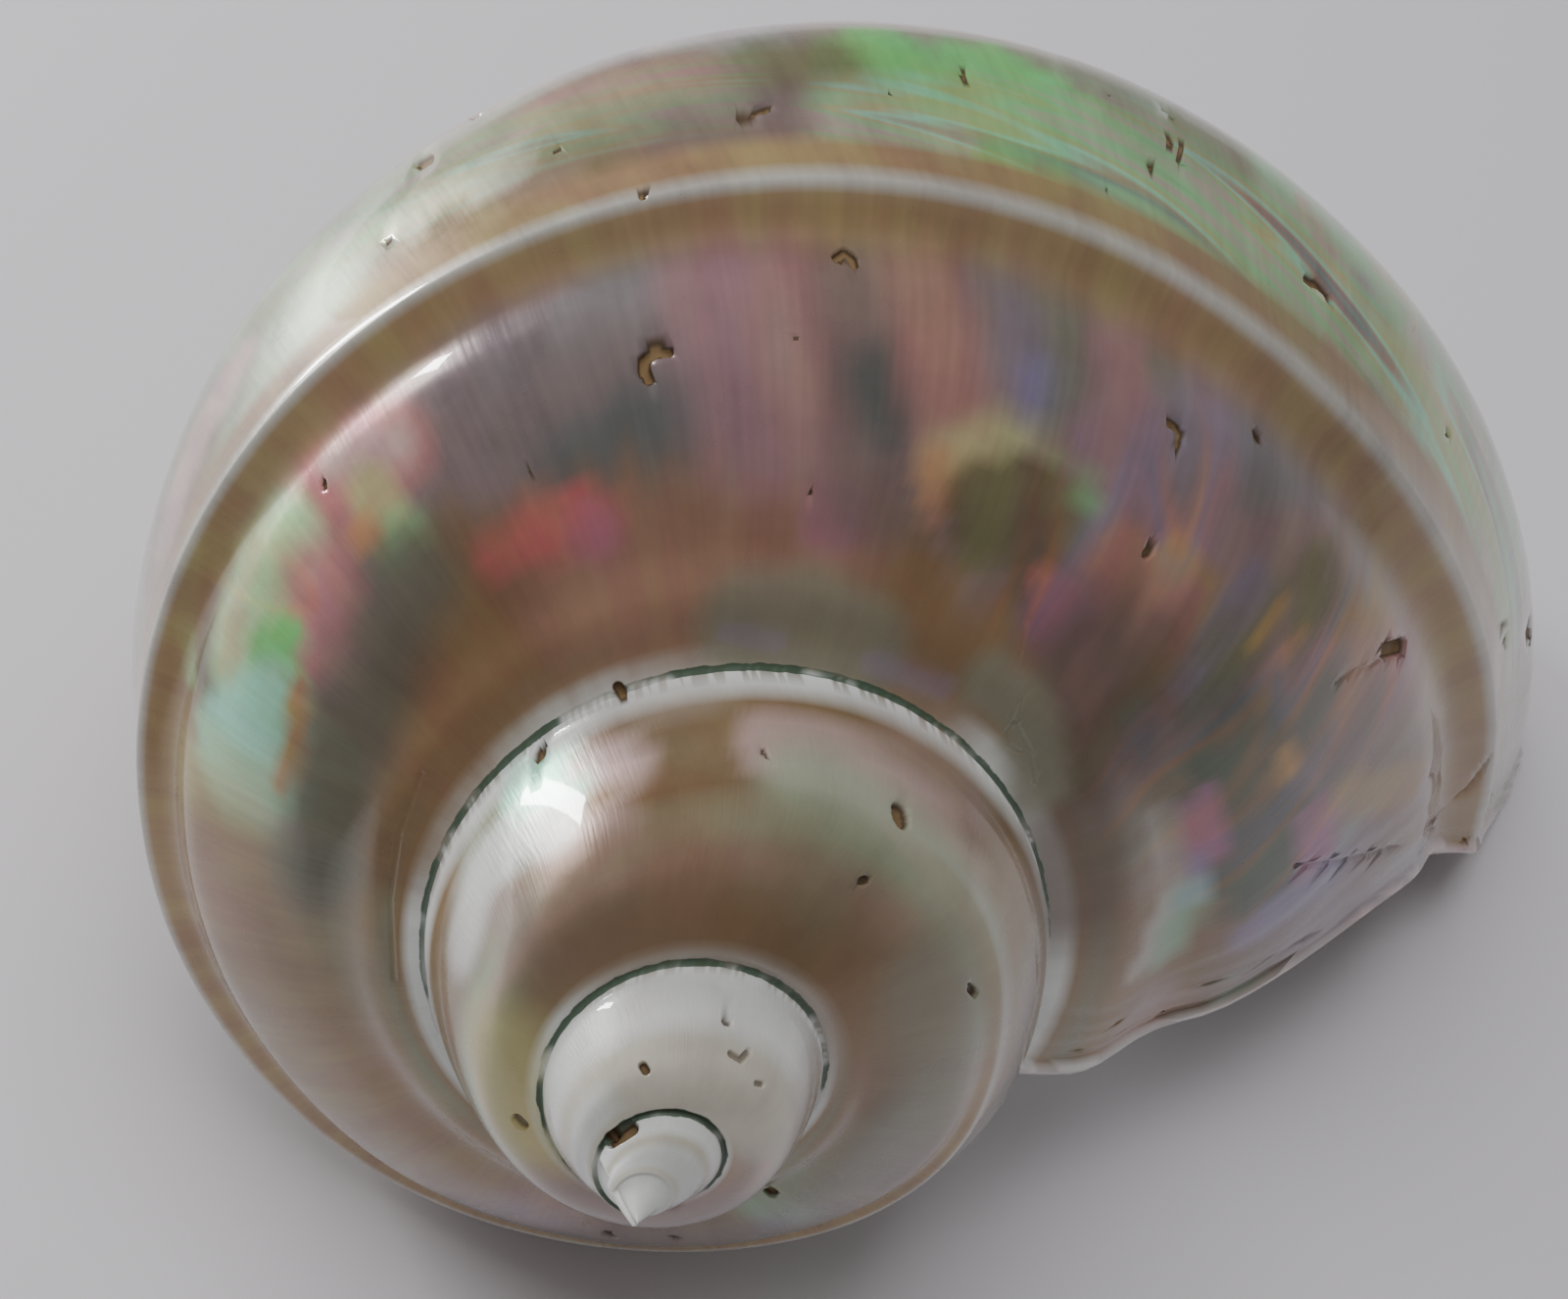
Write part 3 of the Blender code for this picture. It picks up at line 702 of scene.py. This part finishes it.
waviness = ((0.018, 0.00013, 3.1), (0.006, 0.00003, 7.7))   # lumps' size, height and seed
sutureGroove = dict(deep=0.00030, wide=0.035, endsAt=-0.005)   # metres, a share of the shoulder, and a turn
# Terraces behind the lip: how far back each edge lies, in turns, and how high it is, in metres.
lipSteps = ((0.004, 0.00022), (0.009, 0.00016), (0.015, 0.00020), (0.023, 0.00014), (0.034, 0.00016))
lipStep = dict(wander=0.35, waves=(1, 2.5, 4.4), ragged=0.2, lumps=0.012, rise=0.003, downTo=2.2, backTo=-0.2)
pitWall = (0.55, 1.15)   # where a pit's wall begins and ends, in half widths


def carveRelief(points, turn, across, pitPaths):   # how far each place is moved along its normal
    outside = across <= 3
    move = np.zeros(len(points))
    for size, height, seed in waviness:
        move += height * noiseAt(points, size, seed) * outside
    nearSuture = np.minimum(across, np.where(turn < -1, (2 - across) / 2, 1))
    grooved = outside * (turn < sutureGroove["endsAt"])
    move -= sutureGroove["deep"] * bell(nearSuture, 0, sutureGroove["wide"]) * grooved
    wander = lipStep["wander"] * streakNoise(turn * 0, across, *lipStep["waves"])
    stepped = outside * (across < lipStep["downTo"]) * (turn > lipStep["backTo"])
    for index, (back, height) in enumerate(lipSteps):
        edge = -back * (1 + wander + lipStep["ragged"] * noiseAt(points, lipStep["lumps"], index))
        move -= height * smoothStep((turn - edge) / lipStep["rise"]) * stepped
    pitted = np.zeros(len(points))
    for name, path in pitPaths.items():
        mark = pits[name]
        depth = 1 - ramp(nearPath(points, path) / (mark["wide"] / 2), pitWall)
        move -= mark["deep"] * depth * outside
        pitted = np.maximum(pitted, mark["dark"] * depth)
    return move, pitted * outside


# The zones of colour across a whorl, from its suture at 0 over the keel at 1.
bodyZones = ((0.0, "porcelain"), (0.035, "porcelain"), (0.060, "tan"), (0.09, "greyGreen"), (0.13, "tan"),
             (0.18, "orangeBrown"), (0.28, "brown"), (0.38, "mauve"), (0.52, "lavender"), (0.66, "mauve"),
             (0.78, "brown"), (0.86, "keelBrown"), (0.94, "keelBrown"), (0.972, "crest"), (1.02, "crest"),
             (1.06, "keelBrown"), (1.30, "keelBrown"), (1.36, "greyGreen"), (1.60, "greyGreen"),
             (1.80, "paleMint"), (2.0, "palePink"), (2.2, "ivory"), (2.5, "greyGreen"), (3.0, "porcelain"))
keelZones = ((0.80, "brown"), (0.89, "keelBrown"), (0.966, "keelBrown"), (0.988, "crest"), (1.002, "crest"),
             (1.030, "keelBrown"), (1.20, "keelBrown"), (1.27, "tan"))
spireZones = ((0.0, "porcelain"), (0.06, "porcelain"), (0.13, "tan"), (0.30, "brown"), (0.45, "greyGreen"),
              (0.62, "palePink"), (0.80, "paleMint"), (1.0, "brown"), (1.35, "tan"), (1.66, "tan"),
              (1.72, "white"), (2.0, "white"))
smallZones = ((0.0, "porcelain"), (0.15, "ivory"), (0.30, "porcelain"), (0.75, "porcelain"), (0.95, "ivory"),
              (1.30, "white"), (2.0, "porcelain"))
hollowZones = ((3.0, "porcelain"), (3.2, "palePink"), (3.45, "porcelain"), (3.65, "paleMint"),
               (3.85, "lilac"), (4.0, "porcelain"))
zoneTurns = ((spireZones, (-1.12, -0.98)), (smallZones, (-2.15, -1.95)))   # where each gives way to the next
keelBand = dict(inner=(0.80, 0.93), outer=(1.27, 1.18), turns=(-1.25, -0.95), strength=0.92, dulls=0.4)
porcelain = dict(suture=0.06, wall=0.22, wallBefore=-1.02, smallWhorls=(-2.2, -1.9), smallShare=0.35)
hollowDrift = dict(reach=0.1, lumps=0.01, seed=2.2)
# Washes of colour that wander over the whole shell: colour, strength, threshold and seed.
washes = (("palePink", 0.35, 0.12, 11.3), ("greyGreen", 0.45, 0.12, 23.7), ("aqua", 0.25, 0.24, 37.1),
          ("brown", 0.45, 0.05, 41.9), ("lilac", 0.35, 0.22, 53.3))
wash = dict(lumps=0.016, streaked=0.35, edge=0.3, clearOfSuture=0.16)
# How the colours drift. Each noise is its waves a turn, its waves a width and a seed.
drift = dict(
    wander=(9, 1.5, 1.7), wanderReach=0.05,
    fine=(150, 2.5, 5.9), fineShare=0.7, broad=(55, 4, 8.3), broadShare=0.6, streakReach=0.015,
    bodyFrom=(-1.15, -0.5), spireShare=0.08,            # the spire's streaks are fainter
    calmBelow=0.4, calmShare=0.3,                       # and so are those near the suture
    sutureCalm=0.24, keelCalm=0.16, leastShare=0.12,    # the suture's and the keel's bands keep their edges
)
streakZones = dict(
    wallRight=flush([(1130, 150), (1290, 240), (1420, 380), (1510, 520), (1545, 640)], 7, "mint", 1.0),
    wallTop=flush([(880, 120), (1010, 110), (1130, 160)], 5, "mint", 0.8),
    wallLeft=flush([(250, 330), (400, 210), (560, 130), (720, 90)], 5, "mint", 0.45),
    shoulderFan=flush([(1160, 600), (1260, 560), (1340, 620), (1400, 640)], 11, "mint", 0.55),
    lowerFan=flush([(1180, 760), (1250, 820), (1330, 850)], 9, "mint", 0.35),
    leftFan=flush([(230, 620), (330, 620), (300, 780)], 6, "mint", 0.35),
)


def linear(name):   # a colour's values as light
    return [((value / 255 + 0.055) / 1.055) ** 2.4 for value in pearl[name]]


def zoneColours(zones, across):
    stops = [at for at, _ in zones]
    colours = np.array([linear(name) for _, name in zones])
    return np.column_stack([np.interp(across, stops, colours[:, channel]) for channel in range(3)])


def driftOver(turn, across):   # the slow wander of the zones, and the streaks along the growth lines
    fine = drift["fineShare"] * streakNoise(turn, across, *drift["fine"])
    streaks = fine + drift["broadShare"] * streakNoise(turn, across, *drift["broad"])
    onBody = mixed(drift["spireShare"], 1, ramp(turn, drift["bodyFrom"]))
    streaks *= onBody * mixed(drift["calmShare"], 1, smoothStep(across / drift["calmBelow"]))
    return streakNoise(turn, across, *drift["wander"]), streaks


def zoneTint(turn, zoned):
    tint = zoneColours(bodyZones, zoned)
    for zones, turns in zoneTurns:
        tint = mixed(tint, zoneColours(zones, zoned), (1 - ramp(turn, turns))[:, None])
    return tint


def pearlyShare(turn, across):   # 0 on plain porcelain, 1 on full nacre
    onWall = np.where(turn < porcelain["wallBefore"], bell(across, 2, porcelain["wall"]), 0)
    plain = bell(across, 0, porcelain["suture"]) + onWall
    return np.clip(1 - plain, 0, 1) * mixed(porcelain["smallShare"], 1, ramp(turn, porcelain["smallWhorls"]))


def flushShare(mark, path, points, turn, outside, streaks, vertTree):
    middle = turn[vertTree.find(path[len(path) // 2])[1]]
    sameWhorl = abs(turn - middle) < 0.5
    reached = nearPath(points, path) / mark["reach"] + mark["ragged"] * streaks
    share = mark["strength"] * (1 - smoothStep((reached - 1 + mark["edge"] / 2) / mark["edge"]))
    return share * outside * sameWhorl


def tintShell(points, turn, across, flushPaths, streakPaths):
    outside = across <= 3
    wander, streaks = driftOver(turn, across)
    calm = bell(across, 0, drift["sutureCalm"]) + bell(across, 1, drift["keelCalm"])
    shift = drift["wanderReach"] * wander + drift["streakReach"] * streaks
    zoned = np.clip(across + shift * np.maximum(1 - calm, drift["leastShare"]), 0, 4)
    zoned = np.where(outside, np.minimum(zoned, 3), zoned)
    tint, pearly = zoneTint(turn, zoned), pearlyShare(turn, across)
    for name, strength, threshold, seed in washes:
        field = noiseAt(points, wash["lumps"], seed) + wash["streaked"] * streaks
        share = strength * smoothStep((field - threshold) / wash["edge"]) * pearly * outside
        share *= 1 - bell(across, 0, wash["clearOfSuture"])
        tint = mixed(tint, np.array(linear(name)), share[:, None])
    inside = across + hollowDrift["reach"] * noiseAt(points, hollowDrift["lumps"], hollowDrift["seed"])
    tint = np.where(outside[:, None], tint, zoneColours(hollowZones, np.clip(inside, 3, 4)))
    vertTree = KDTree(len(points))
    for index, point in enumerate(points):
        vertTree.insert(point, index)
    vertTree.balance()
    for name, path in flushPaths.items():
        mark = flushes[name]
        share = flushShare(mark, path, points, turn, outside, streaks, vertTree)
        tint = mixed(tint, np.array(linear(mark["colour"])), share[:, None])
    banded = ramp(zoned, keelBand["inner"]) * ramp(zoned, keelBand["outer"]) * ramp(turn, keelBand["turns"])
    tint = mixed(tint, zoneColours(keelZones, zoned), (keelBand["strength"] * banded * outside)[:, None])
    streaky = np.zeros(len(points))
    for name, path in streakPaths.items():
        share = flushShare(streakZones[name], path, points, turn, outside, streaks, vertTree)
        streaky = np.maximum(streaky, share)
    return tint, pearly * (1 - keelBand["dulls"] * banded), streaky * (1 - banded)


def storeValues(surface, name, values):
    kind = "FLOAT" if values.ndim == 1 else "FLOAT_COLOR"
    layer = surface.attributes.new(name, kind, "POINT")
    if kind == "FLOAT_COLOR":
        values = np.column_stack([values, np.ones(len(values))])
    layer.data.foreach_set("value" if kind == "FLOAT" else "color", values.astype(np.float32).ravel())


def makeShell():
    bm, pitPaths, flushPaths, streakPaths = wrapShell()
    surface = bpy.data.meshes.new("motherOfPearl")
    bm.to_mesh(surface)
    bm.free()
    count = len(surface.vertices)
    points, normals = np.empty(count * 3), np.empty(count * 3)
    turn, across = np.empty(count), np.empty(count)
    surface.vertices.foreach_get("co", points)
    surface.vertex_normals.foreach_get("vector", normals)
    surface.attributes["turn"].data.foreach_get("value", turn)
    surface.attributes["across"].data.foreach_get("value", across)
    points, normals = points.reshape(-1, 3), normals.reshape(-1, 3)
    tint, pearly, streaky = tintShell(points, turn, across, flushPaths, streakPaths)
    print("tints laid")
    move, pitted = carveRelief(points, turn, across, pitPaths)
    points = points + normals * move[:, None]
    points[:, 2] = np.maximum(points[:, 2], 0)   # the worn flats that it lies on
    surface.vertices.foreach_set("co", points.ravel())
    for name, values in (("tint", tint), ("pearly", pearly), ("streaky", streaky), ("pitted", pitted)):
        storeValues(surface, name, values)
    surface.update()
    piece = bpy.data.objects.new("motherOfPearl", surface)
    bpy.context.scene.collection.objects.link(piece)
    print("shell made:", len(surface.polygons), "faces")
    return piece


def node(tree, kind, inputs=(), **settings):   # a node with its settings, and its inputs set or linked
    made = tree.nodes.new(kind)
    for name, value in settings.items():
        setattr(made, name, value)
    for name, value in dict(inputs).items():
        if isinstance(value, bpy.types.NodeSocket):
            tree.links.new(value, made.inputs[name])
        else:
            made.inputs[name].default_value = value
    return made


def maths(tree, operation, first, second=0.0, third=0.0):
    return node(tree, "ShaderNodeMath", {0: first, 1: second, 2: third}, operation=operation).outputs[0]


def blended(tree, share, first, second, way="MIX"):
    mixer = node(tree, "ShaderNodeMix", data_type="RGBA", blend_type=way)
    for index, value in ((0, share), (6, first), (7, second)):
        if isinstance(value, bpy.types.NodeSocket):
            tree.links.new(value, mixer.inputs[index])
        else:
            mixer.inputs[index].default_value = value
    return mixer.outputs[2]


def ranged(tree, value, fromLow, fromHigh, toLow=0.0, toHigh=1.0, smooth=True):
    inputs = {"Value": value, "From Min": fromLow, "From Max": fromHigh, "To Min": toLow, "To Max": toHigh}
    kind = "SMOOTHSTEP" if smooth else "LINEAR"
    return node(tree, "ShaderNodeMapRange", inputs, interpolation_type=kind).outputs["Result"]


def noiseMask(tree, place, scale, detail, roughness=0.5):
    inputs = {"Vector": place, "Scale": scale, "Detail": detail, "Roughness": roughness}
    return node(tree, "ShaderNodeTexNoise", inputs).outputs["Fac"]


streakInputs = ("Streaks per Turn", "Breaks", "Slant", "Lean", "Contrast")


def growthStreaks():   # streaks that run along the shell's growth lines
    group = bpy.data.node_groups.new("growthStreaks", "ShaderNodeTree")
    group.interface.new_socket("Growth", in_out="INPUT", socket_type="NodeSocketVector")
    for name in streakInputs:
        group.interface.new_socket(name, in_out="INPUT", socket_type="NodeSocketFloat")
    group.interface.new_socket("Mask", in_out="OUTPUT", socket_type="NodeSocketFloat")
    given = group.nodes.new("NodeGroupInput")
    result = group.nodes.new("NodeGroupOutput")
    split = node(group, "ShaderNodeSeparateXYZ", {0: given.outputs["Growth"]})
    slanted = maths(group, "MULTIPLY_ADD", split.outputs["Y"], given.outputs["Slant"], split.outputs["X"])
    along = maths(group, "MULTIPLY", slanted, given.outputs["Streaks per Turn"])
    leaning = maths(group, "MULTIPLY_ADD", split.outputs["X"], given.outputs["Lean"], split.outputs["Y"])
    over = maths(group, "MULTIPLY", leaning, given.outputs["Breaks"])
    place = node(group, "ShaderNodeCombineXYZ", {"X": along, "Y": over})
    pattern = noiseMask(group, place.outputs[0], 1, 1.5)
    low = maths(group, "SUBTRACT", 0.5, given.outputs["Contrast"])
    high = maths(group, "ADD", 0.5, given.outputs["Contrast"])
    group.links.new(ranged(group, pattern, low, high), result.inputs["Mask"])
    return group


# The nacre's streaks, each as the values of streakInputs.
streakKinds = dict(fine=(430, 3, 0.02, 0, 0.25), broad=(70, 2.2, 0.03, 0, 0.22),
                   fan=(26, 1.1, 0.06, 0, 0.26), wall=(8, 5.5, 0, 2.7, 0.26))
wallColours = ((0.0, "greyGreen"), (0.16, "mint"), (0.30, "palePink"), (0.40, "mint"), (0.52, "paleYellow"),
               (0.62, "aqua"), (0.74, "salmon"), (0.84, "blueGrey"), (1.0, "mint"))
fanColours = ((0.0, "darkBrown"), (0.25, "olive"), (0.40, "mauve"), (0.52, "pink"), (0.62, "lilac"),
              (0.74, "orange"), (0.84, "greyGreen"), (1.0, "slate"))


def colourRamp(tree, value, colours):
    ramped = node(tree, "ShaderNodeValToRGB", {"Fac": value})
    stops = ramped.color_ramp.elements
    stops[0].position, stops[1].position = 0.0, 1.0
    for at, _ in colours[1:-1]:
        stops.new(at)
    for stop, (_, name) in zip(stops, colours):
        stop.color = (*linear(name), 1)
    return ramped.outputs["Color"]


nacre = dict(
    wallFrom=(0.98, 1.02), rainbowShare=0.75,
    spireTurns=(-1.2, -0.8), spireShare=0.25,           # the spire's streaks are fainter
    sutureReach=(0.05, 0.60), sutureShare=0.35,         # and so are those near the suture
    hueSwing=0.035, fineSwing=0.09, broadSwing=0.12, middleValue=0.95,
    clouds=dict(scale=95, detail=4, roughness=0.6), cloudMiddle=0.62, cloudSwing=0.5,
)
sutureLine = dict(
    without=(-2.85, -2.75),                             # the worn tip's first suture has no dark line
    wobbleScale=700, wobbleDetail=3, wobble=-0.0005, edge=(0.00004, 0.00016),
    patchScale=160, patchDetail=2, patches=(0.36, 0.52), strength=(0.25, 0.95),
)
finish = dict(
    metallic=0.38, roughness=(0.22, 0.42), cloudRange=(0.3, 0.7), pitRoughness=0.45, coatRoughness=0.035,
    pitRim=(0.10, 0.60), pitFloor=(0.55, 0.85),         # how pitted a place is where each colour comes in
    bumpDistance=0.00002, bumpStrength=0.5, cloudHeight=2.0,
)


def streakMask(tree, group, growth, kind):
    inputs = {"Growth": growth, **dict(zip(streakInputs, streakKinds[kind]))}
    return node(tree, "ShaderNodeGroup", inputs, node_tree=group).outputs["Mask"]


def attribute(tree, name, output="Fac"):
    return node(tree, "ShaderNodeAttribute", attribute_name=name).outputs[output]


def nacreColour(tree, growth, along, clouds):   # the tint with its rainbow and streaks, and the fine streaks
    group = growthStreaks()
    fine, broad, fan, wall = (streakMask(tree, group, growth, kind) for kind in streakKinds)
    onWall = ranged(tree, along.outputs["Y"], *nacre["wallFrom"])
    rainbow = blended(tree, onWall, colourRamp(tree, fan, fanColours), colourRamp(tree, wall, wallColours))
    share = maths(tree, "MULTIPLY", attribute(tree, "streaky"), nacre["rainbowShare"])
    colour = blended(tree, share, attribute(tree, "tint", "Color"), rainbow)
    onBody = ranged(tree, along.outputs["X"], *nacre["spireTurns"], nacre["spireShare"], 1.0)
    offSuture = ranged(tree, along.outputs["Y"], *nacre["sutureReach"], nacre["sutureShare"], 1.0)
    swing = maths(tree, "MULTIPLY", onBody, offSuture)
    broadly = maths(tree, "MULTIPLY", maths(tree, "SUBTRACT", broad, 0.5), swing)
    finely = maths(tree, "MULTIPLY", maths(tree, "SUBTRACT", fine, 0.5), swing)
    hue = maths(tree, "MULTIPLY_ADD", broadly, nacre["hueSwing"], 0.5)
    value = maths(tree, "MULTIPLY_ADD", finely, nacre["fineSwing"], nacre["middleValue"])
    value = maths(tree, "MULTIPLY_ADD", broadly, nacre["broadSwing"], value)
    cloudy = maths(tree, "SUBTRACT", clouds, nacre["cloudMiddle"])
    value = maths(tree, "MULTIPLY_ADD", cloudy, nacre["cloudSwing"], value)
    shift = {"Color": colour, "Hue": hue, "Value": value}
    return node(tree, "ShaderNodeHueSaturation", shift).outputs["Color"], fine


def darkLine(tree, along, place):   # the suture's dark line, patchy and a little ragged
    bands = node(tree, "ShaderNodeUVMap", uv_map="bands").outputs["UV"]
    sides = node(tree, "ShaderNodeSeparateXYZ", {0: bands})
    tipOnly = ranged(tree, along.outputs["X"], *sutureLine["without"], farBand, 0.0)
    fromSuture = maths(tree, "MINIMUM", maths(tree, "ADD", sides.outputs["X"], tipOnly), sides.outputs["Y"])
    wobble = noiseMask(tree, place, sutureLine["wobbleScale"], sutureLine["wobbleDetail"])
    wobbled = maths(tree, "MULTIPLY_ADD", wobble, sutureLine["wobble"], fromSuture)
    line = ranged(tree, wobbled, *sutureLine["edge"], 1.0, 0.0)
    patchy = noiseMask(tree, place, sutureLine["patchScale"], sutureLine["patchDetail"])
    strength = ranged(tree, patchy, *sutureLine["patches"], *sutureLine["strength"])
    return maths(tree, "MULTIPLY", line, strength)


def polishedPearl():
    material = bpy.data.materials.new("polishedPearl")
    material.use_nodes = True
    tree = material.node_tree
    shader = tree.nodes["Principled BSDF"]
    pitted = attribute(tree, "pitted")
    growth = node(tree, "ShaderNodeUVMap", uv_map="growth").outputs["UV"]
    along = node(tree, "ShaderNodeSeparateXYZ", {0: growth})
    place = node(tree, "ShaderNodeTexCoord").outputs["Object"]
    clouds = noiseMask(tree, place, **nacre["clouds"])
    colour, fine = nacreColour(tree, growth, along, clouds)
    line = darkLine(tree, along, place)
    colour = blended(tree, line, colour, (*linear("darkGreen"), 1))
    for name in ("pitRim", "pitFloor"):
        colour = blended(tree, ranged(tree, pitted, *finish[name]), colour, (*linear(name), 1))
    clean = maths(tree, "SUBTRACT", 1.0, maths(tree, "MAXIMUM", pitted, line))
    pearlyClean = maths(tree, "MULTIPLY", attribute(tree, "pearly"), clean)
    polish = ranged(tree, clouds, *finish["cloudRange"], *finish["roughness"])
    height = maths(tree, "MULTIPLY_ADD", clouds, finish["cloudHeight"], fine)
    relief = {"Height": height, "Distance": finish["bumpDistance"], "Strength": finish["bumpStrength"]}
    values = {
        "Base Color": colour,
        "Metallic": maths(tree, "MULTIPLY", pearlyClean, finish["metallic"]),
        "Roughness": maths(tree, "MULTIPLY_ADD", pitted, finish["pitRoughness"], polish),
        "Coat Weight": clean,
        "Normal": node(tree, "ShaderNodeBump", relief).outputs["Normal"],
    }
    for name, value in values.items():
        tree.links.new(value, shader.inputs[name])
    shader.inputs["Coat Roughness"].default_value = finish["coatRoughness"]
    return material


table = dict(size=3.0, colour=(0.72, 0.70, 0.74), roughness=0.85)


def makeFloor():
    bm = bmesh.new()
    bmesh.ops.create_grid(bm, x_segments=1, y_segments=1, size=table["size"] / 2)
    surface = bpy.data.meshes.new("paleFloor")
    bm.to_mesh(surface)
    bm.free()
    floor = bpy.data.objects.new("paleFloor", surface)
    bpy.context.scene.collection.objects.link(floor)
    material = bpy.data.materials.new("paleFloor")
    material.use_nodes = True
    shader = material.node_tree.nodes["Principled BSDF"]
    shader.inputs["Base Color"].default_value = (*table["colour"], 1)
    shader.inputs["Roughness"].default_value = table["roughness"]
    surface.materials.append(material)
    return floor


lights = dict(
    window=dict(place=(-0.555, 0.19, 0.14), target=(0, 0, 0.03), size=(0.045, 0.26), power=2.8,
                mirrored=True),
    overhead=dict(place=(-0.25, 0.05, 1.10), target=(0, 0, 0), size=(1.0, 1.0), power=9.0,
                  mirrored=False),
)
roomGlow = dict(colour=(0.86, 0.84, 0.82), strength=0.30)


def makeLights():
    for name, light in lights.items():
        lamp = bpy.data.lights.new(name, "AREA")
        lamp.shape = "RECTANGLE"
        lamp.size, lamp.size_y = light["size"]
        lamp.energy = light["power"]
        shade = bpy.data.objects.new(name, lamp)
        shade.location = light["place"]
        shade.visible_glossy = light["mirrored"]
        facing = Vector(light["target"]) - Vector(light["place"])
        shade.rotation_euler = facing.to_track_quat("-Z", "Y").to_euler()
        bpy.context.scene.collection.objects.link(shade)
    world = bpy.data.worlds.new("softRoom")
    world.use_nodes = True
    glow = world.node_tree.nodes["Background"]
    glow.inputs["Color"].default_value = (*roomGlow["colour"], 1)
    glow.inputs["Strength"].default_value = roomGlow["strength"]
    bpy.context.scene.world = world


def makeCamera():
    lens = bpy.data.cameras.new("photoView")
    lens.lens, lens.sensor_width = camera["lens"], camera["sensor"]
    lens.clip_start = camera["nearest"]
    view = bpy.data.objects.new("photoView", lens)
    view.location = camera["place"]
    view.rotation_euler = [radians(angle) for angle in camera["turned"]]
    bpy.context.scene.collection.objects.link(view)
    bpy.context.scene.camera = view


shell = makeShell()
shell.data.materials.append(polishedPearl())
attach(shell, "root")
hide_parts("shell")
floor = makeFloor()
makeLights()
makeCamera()
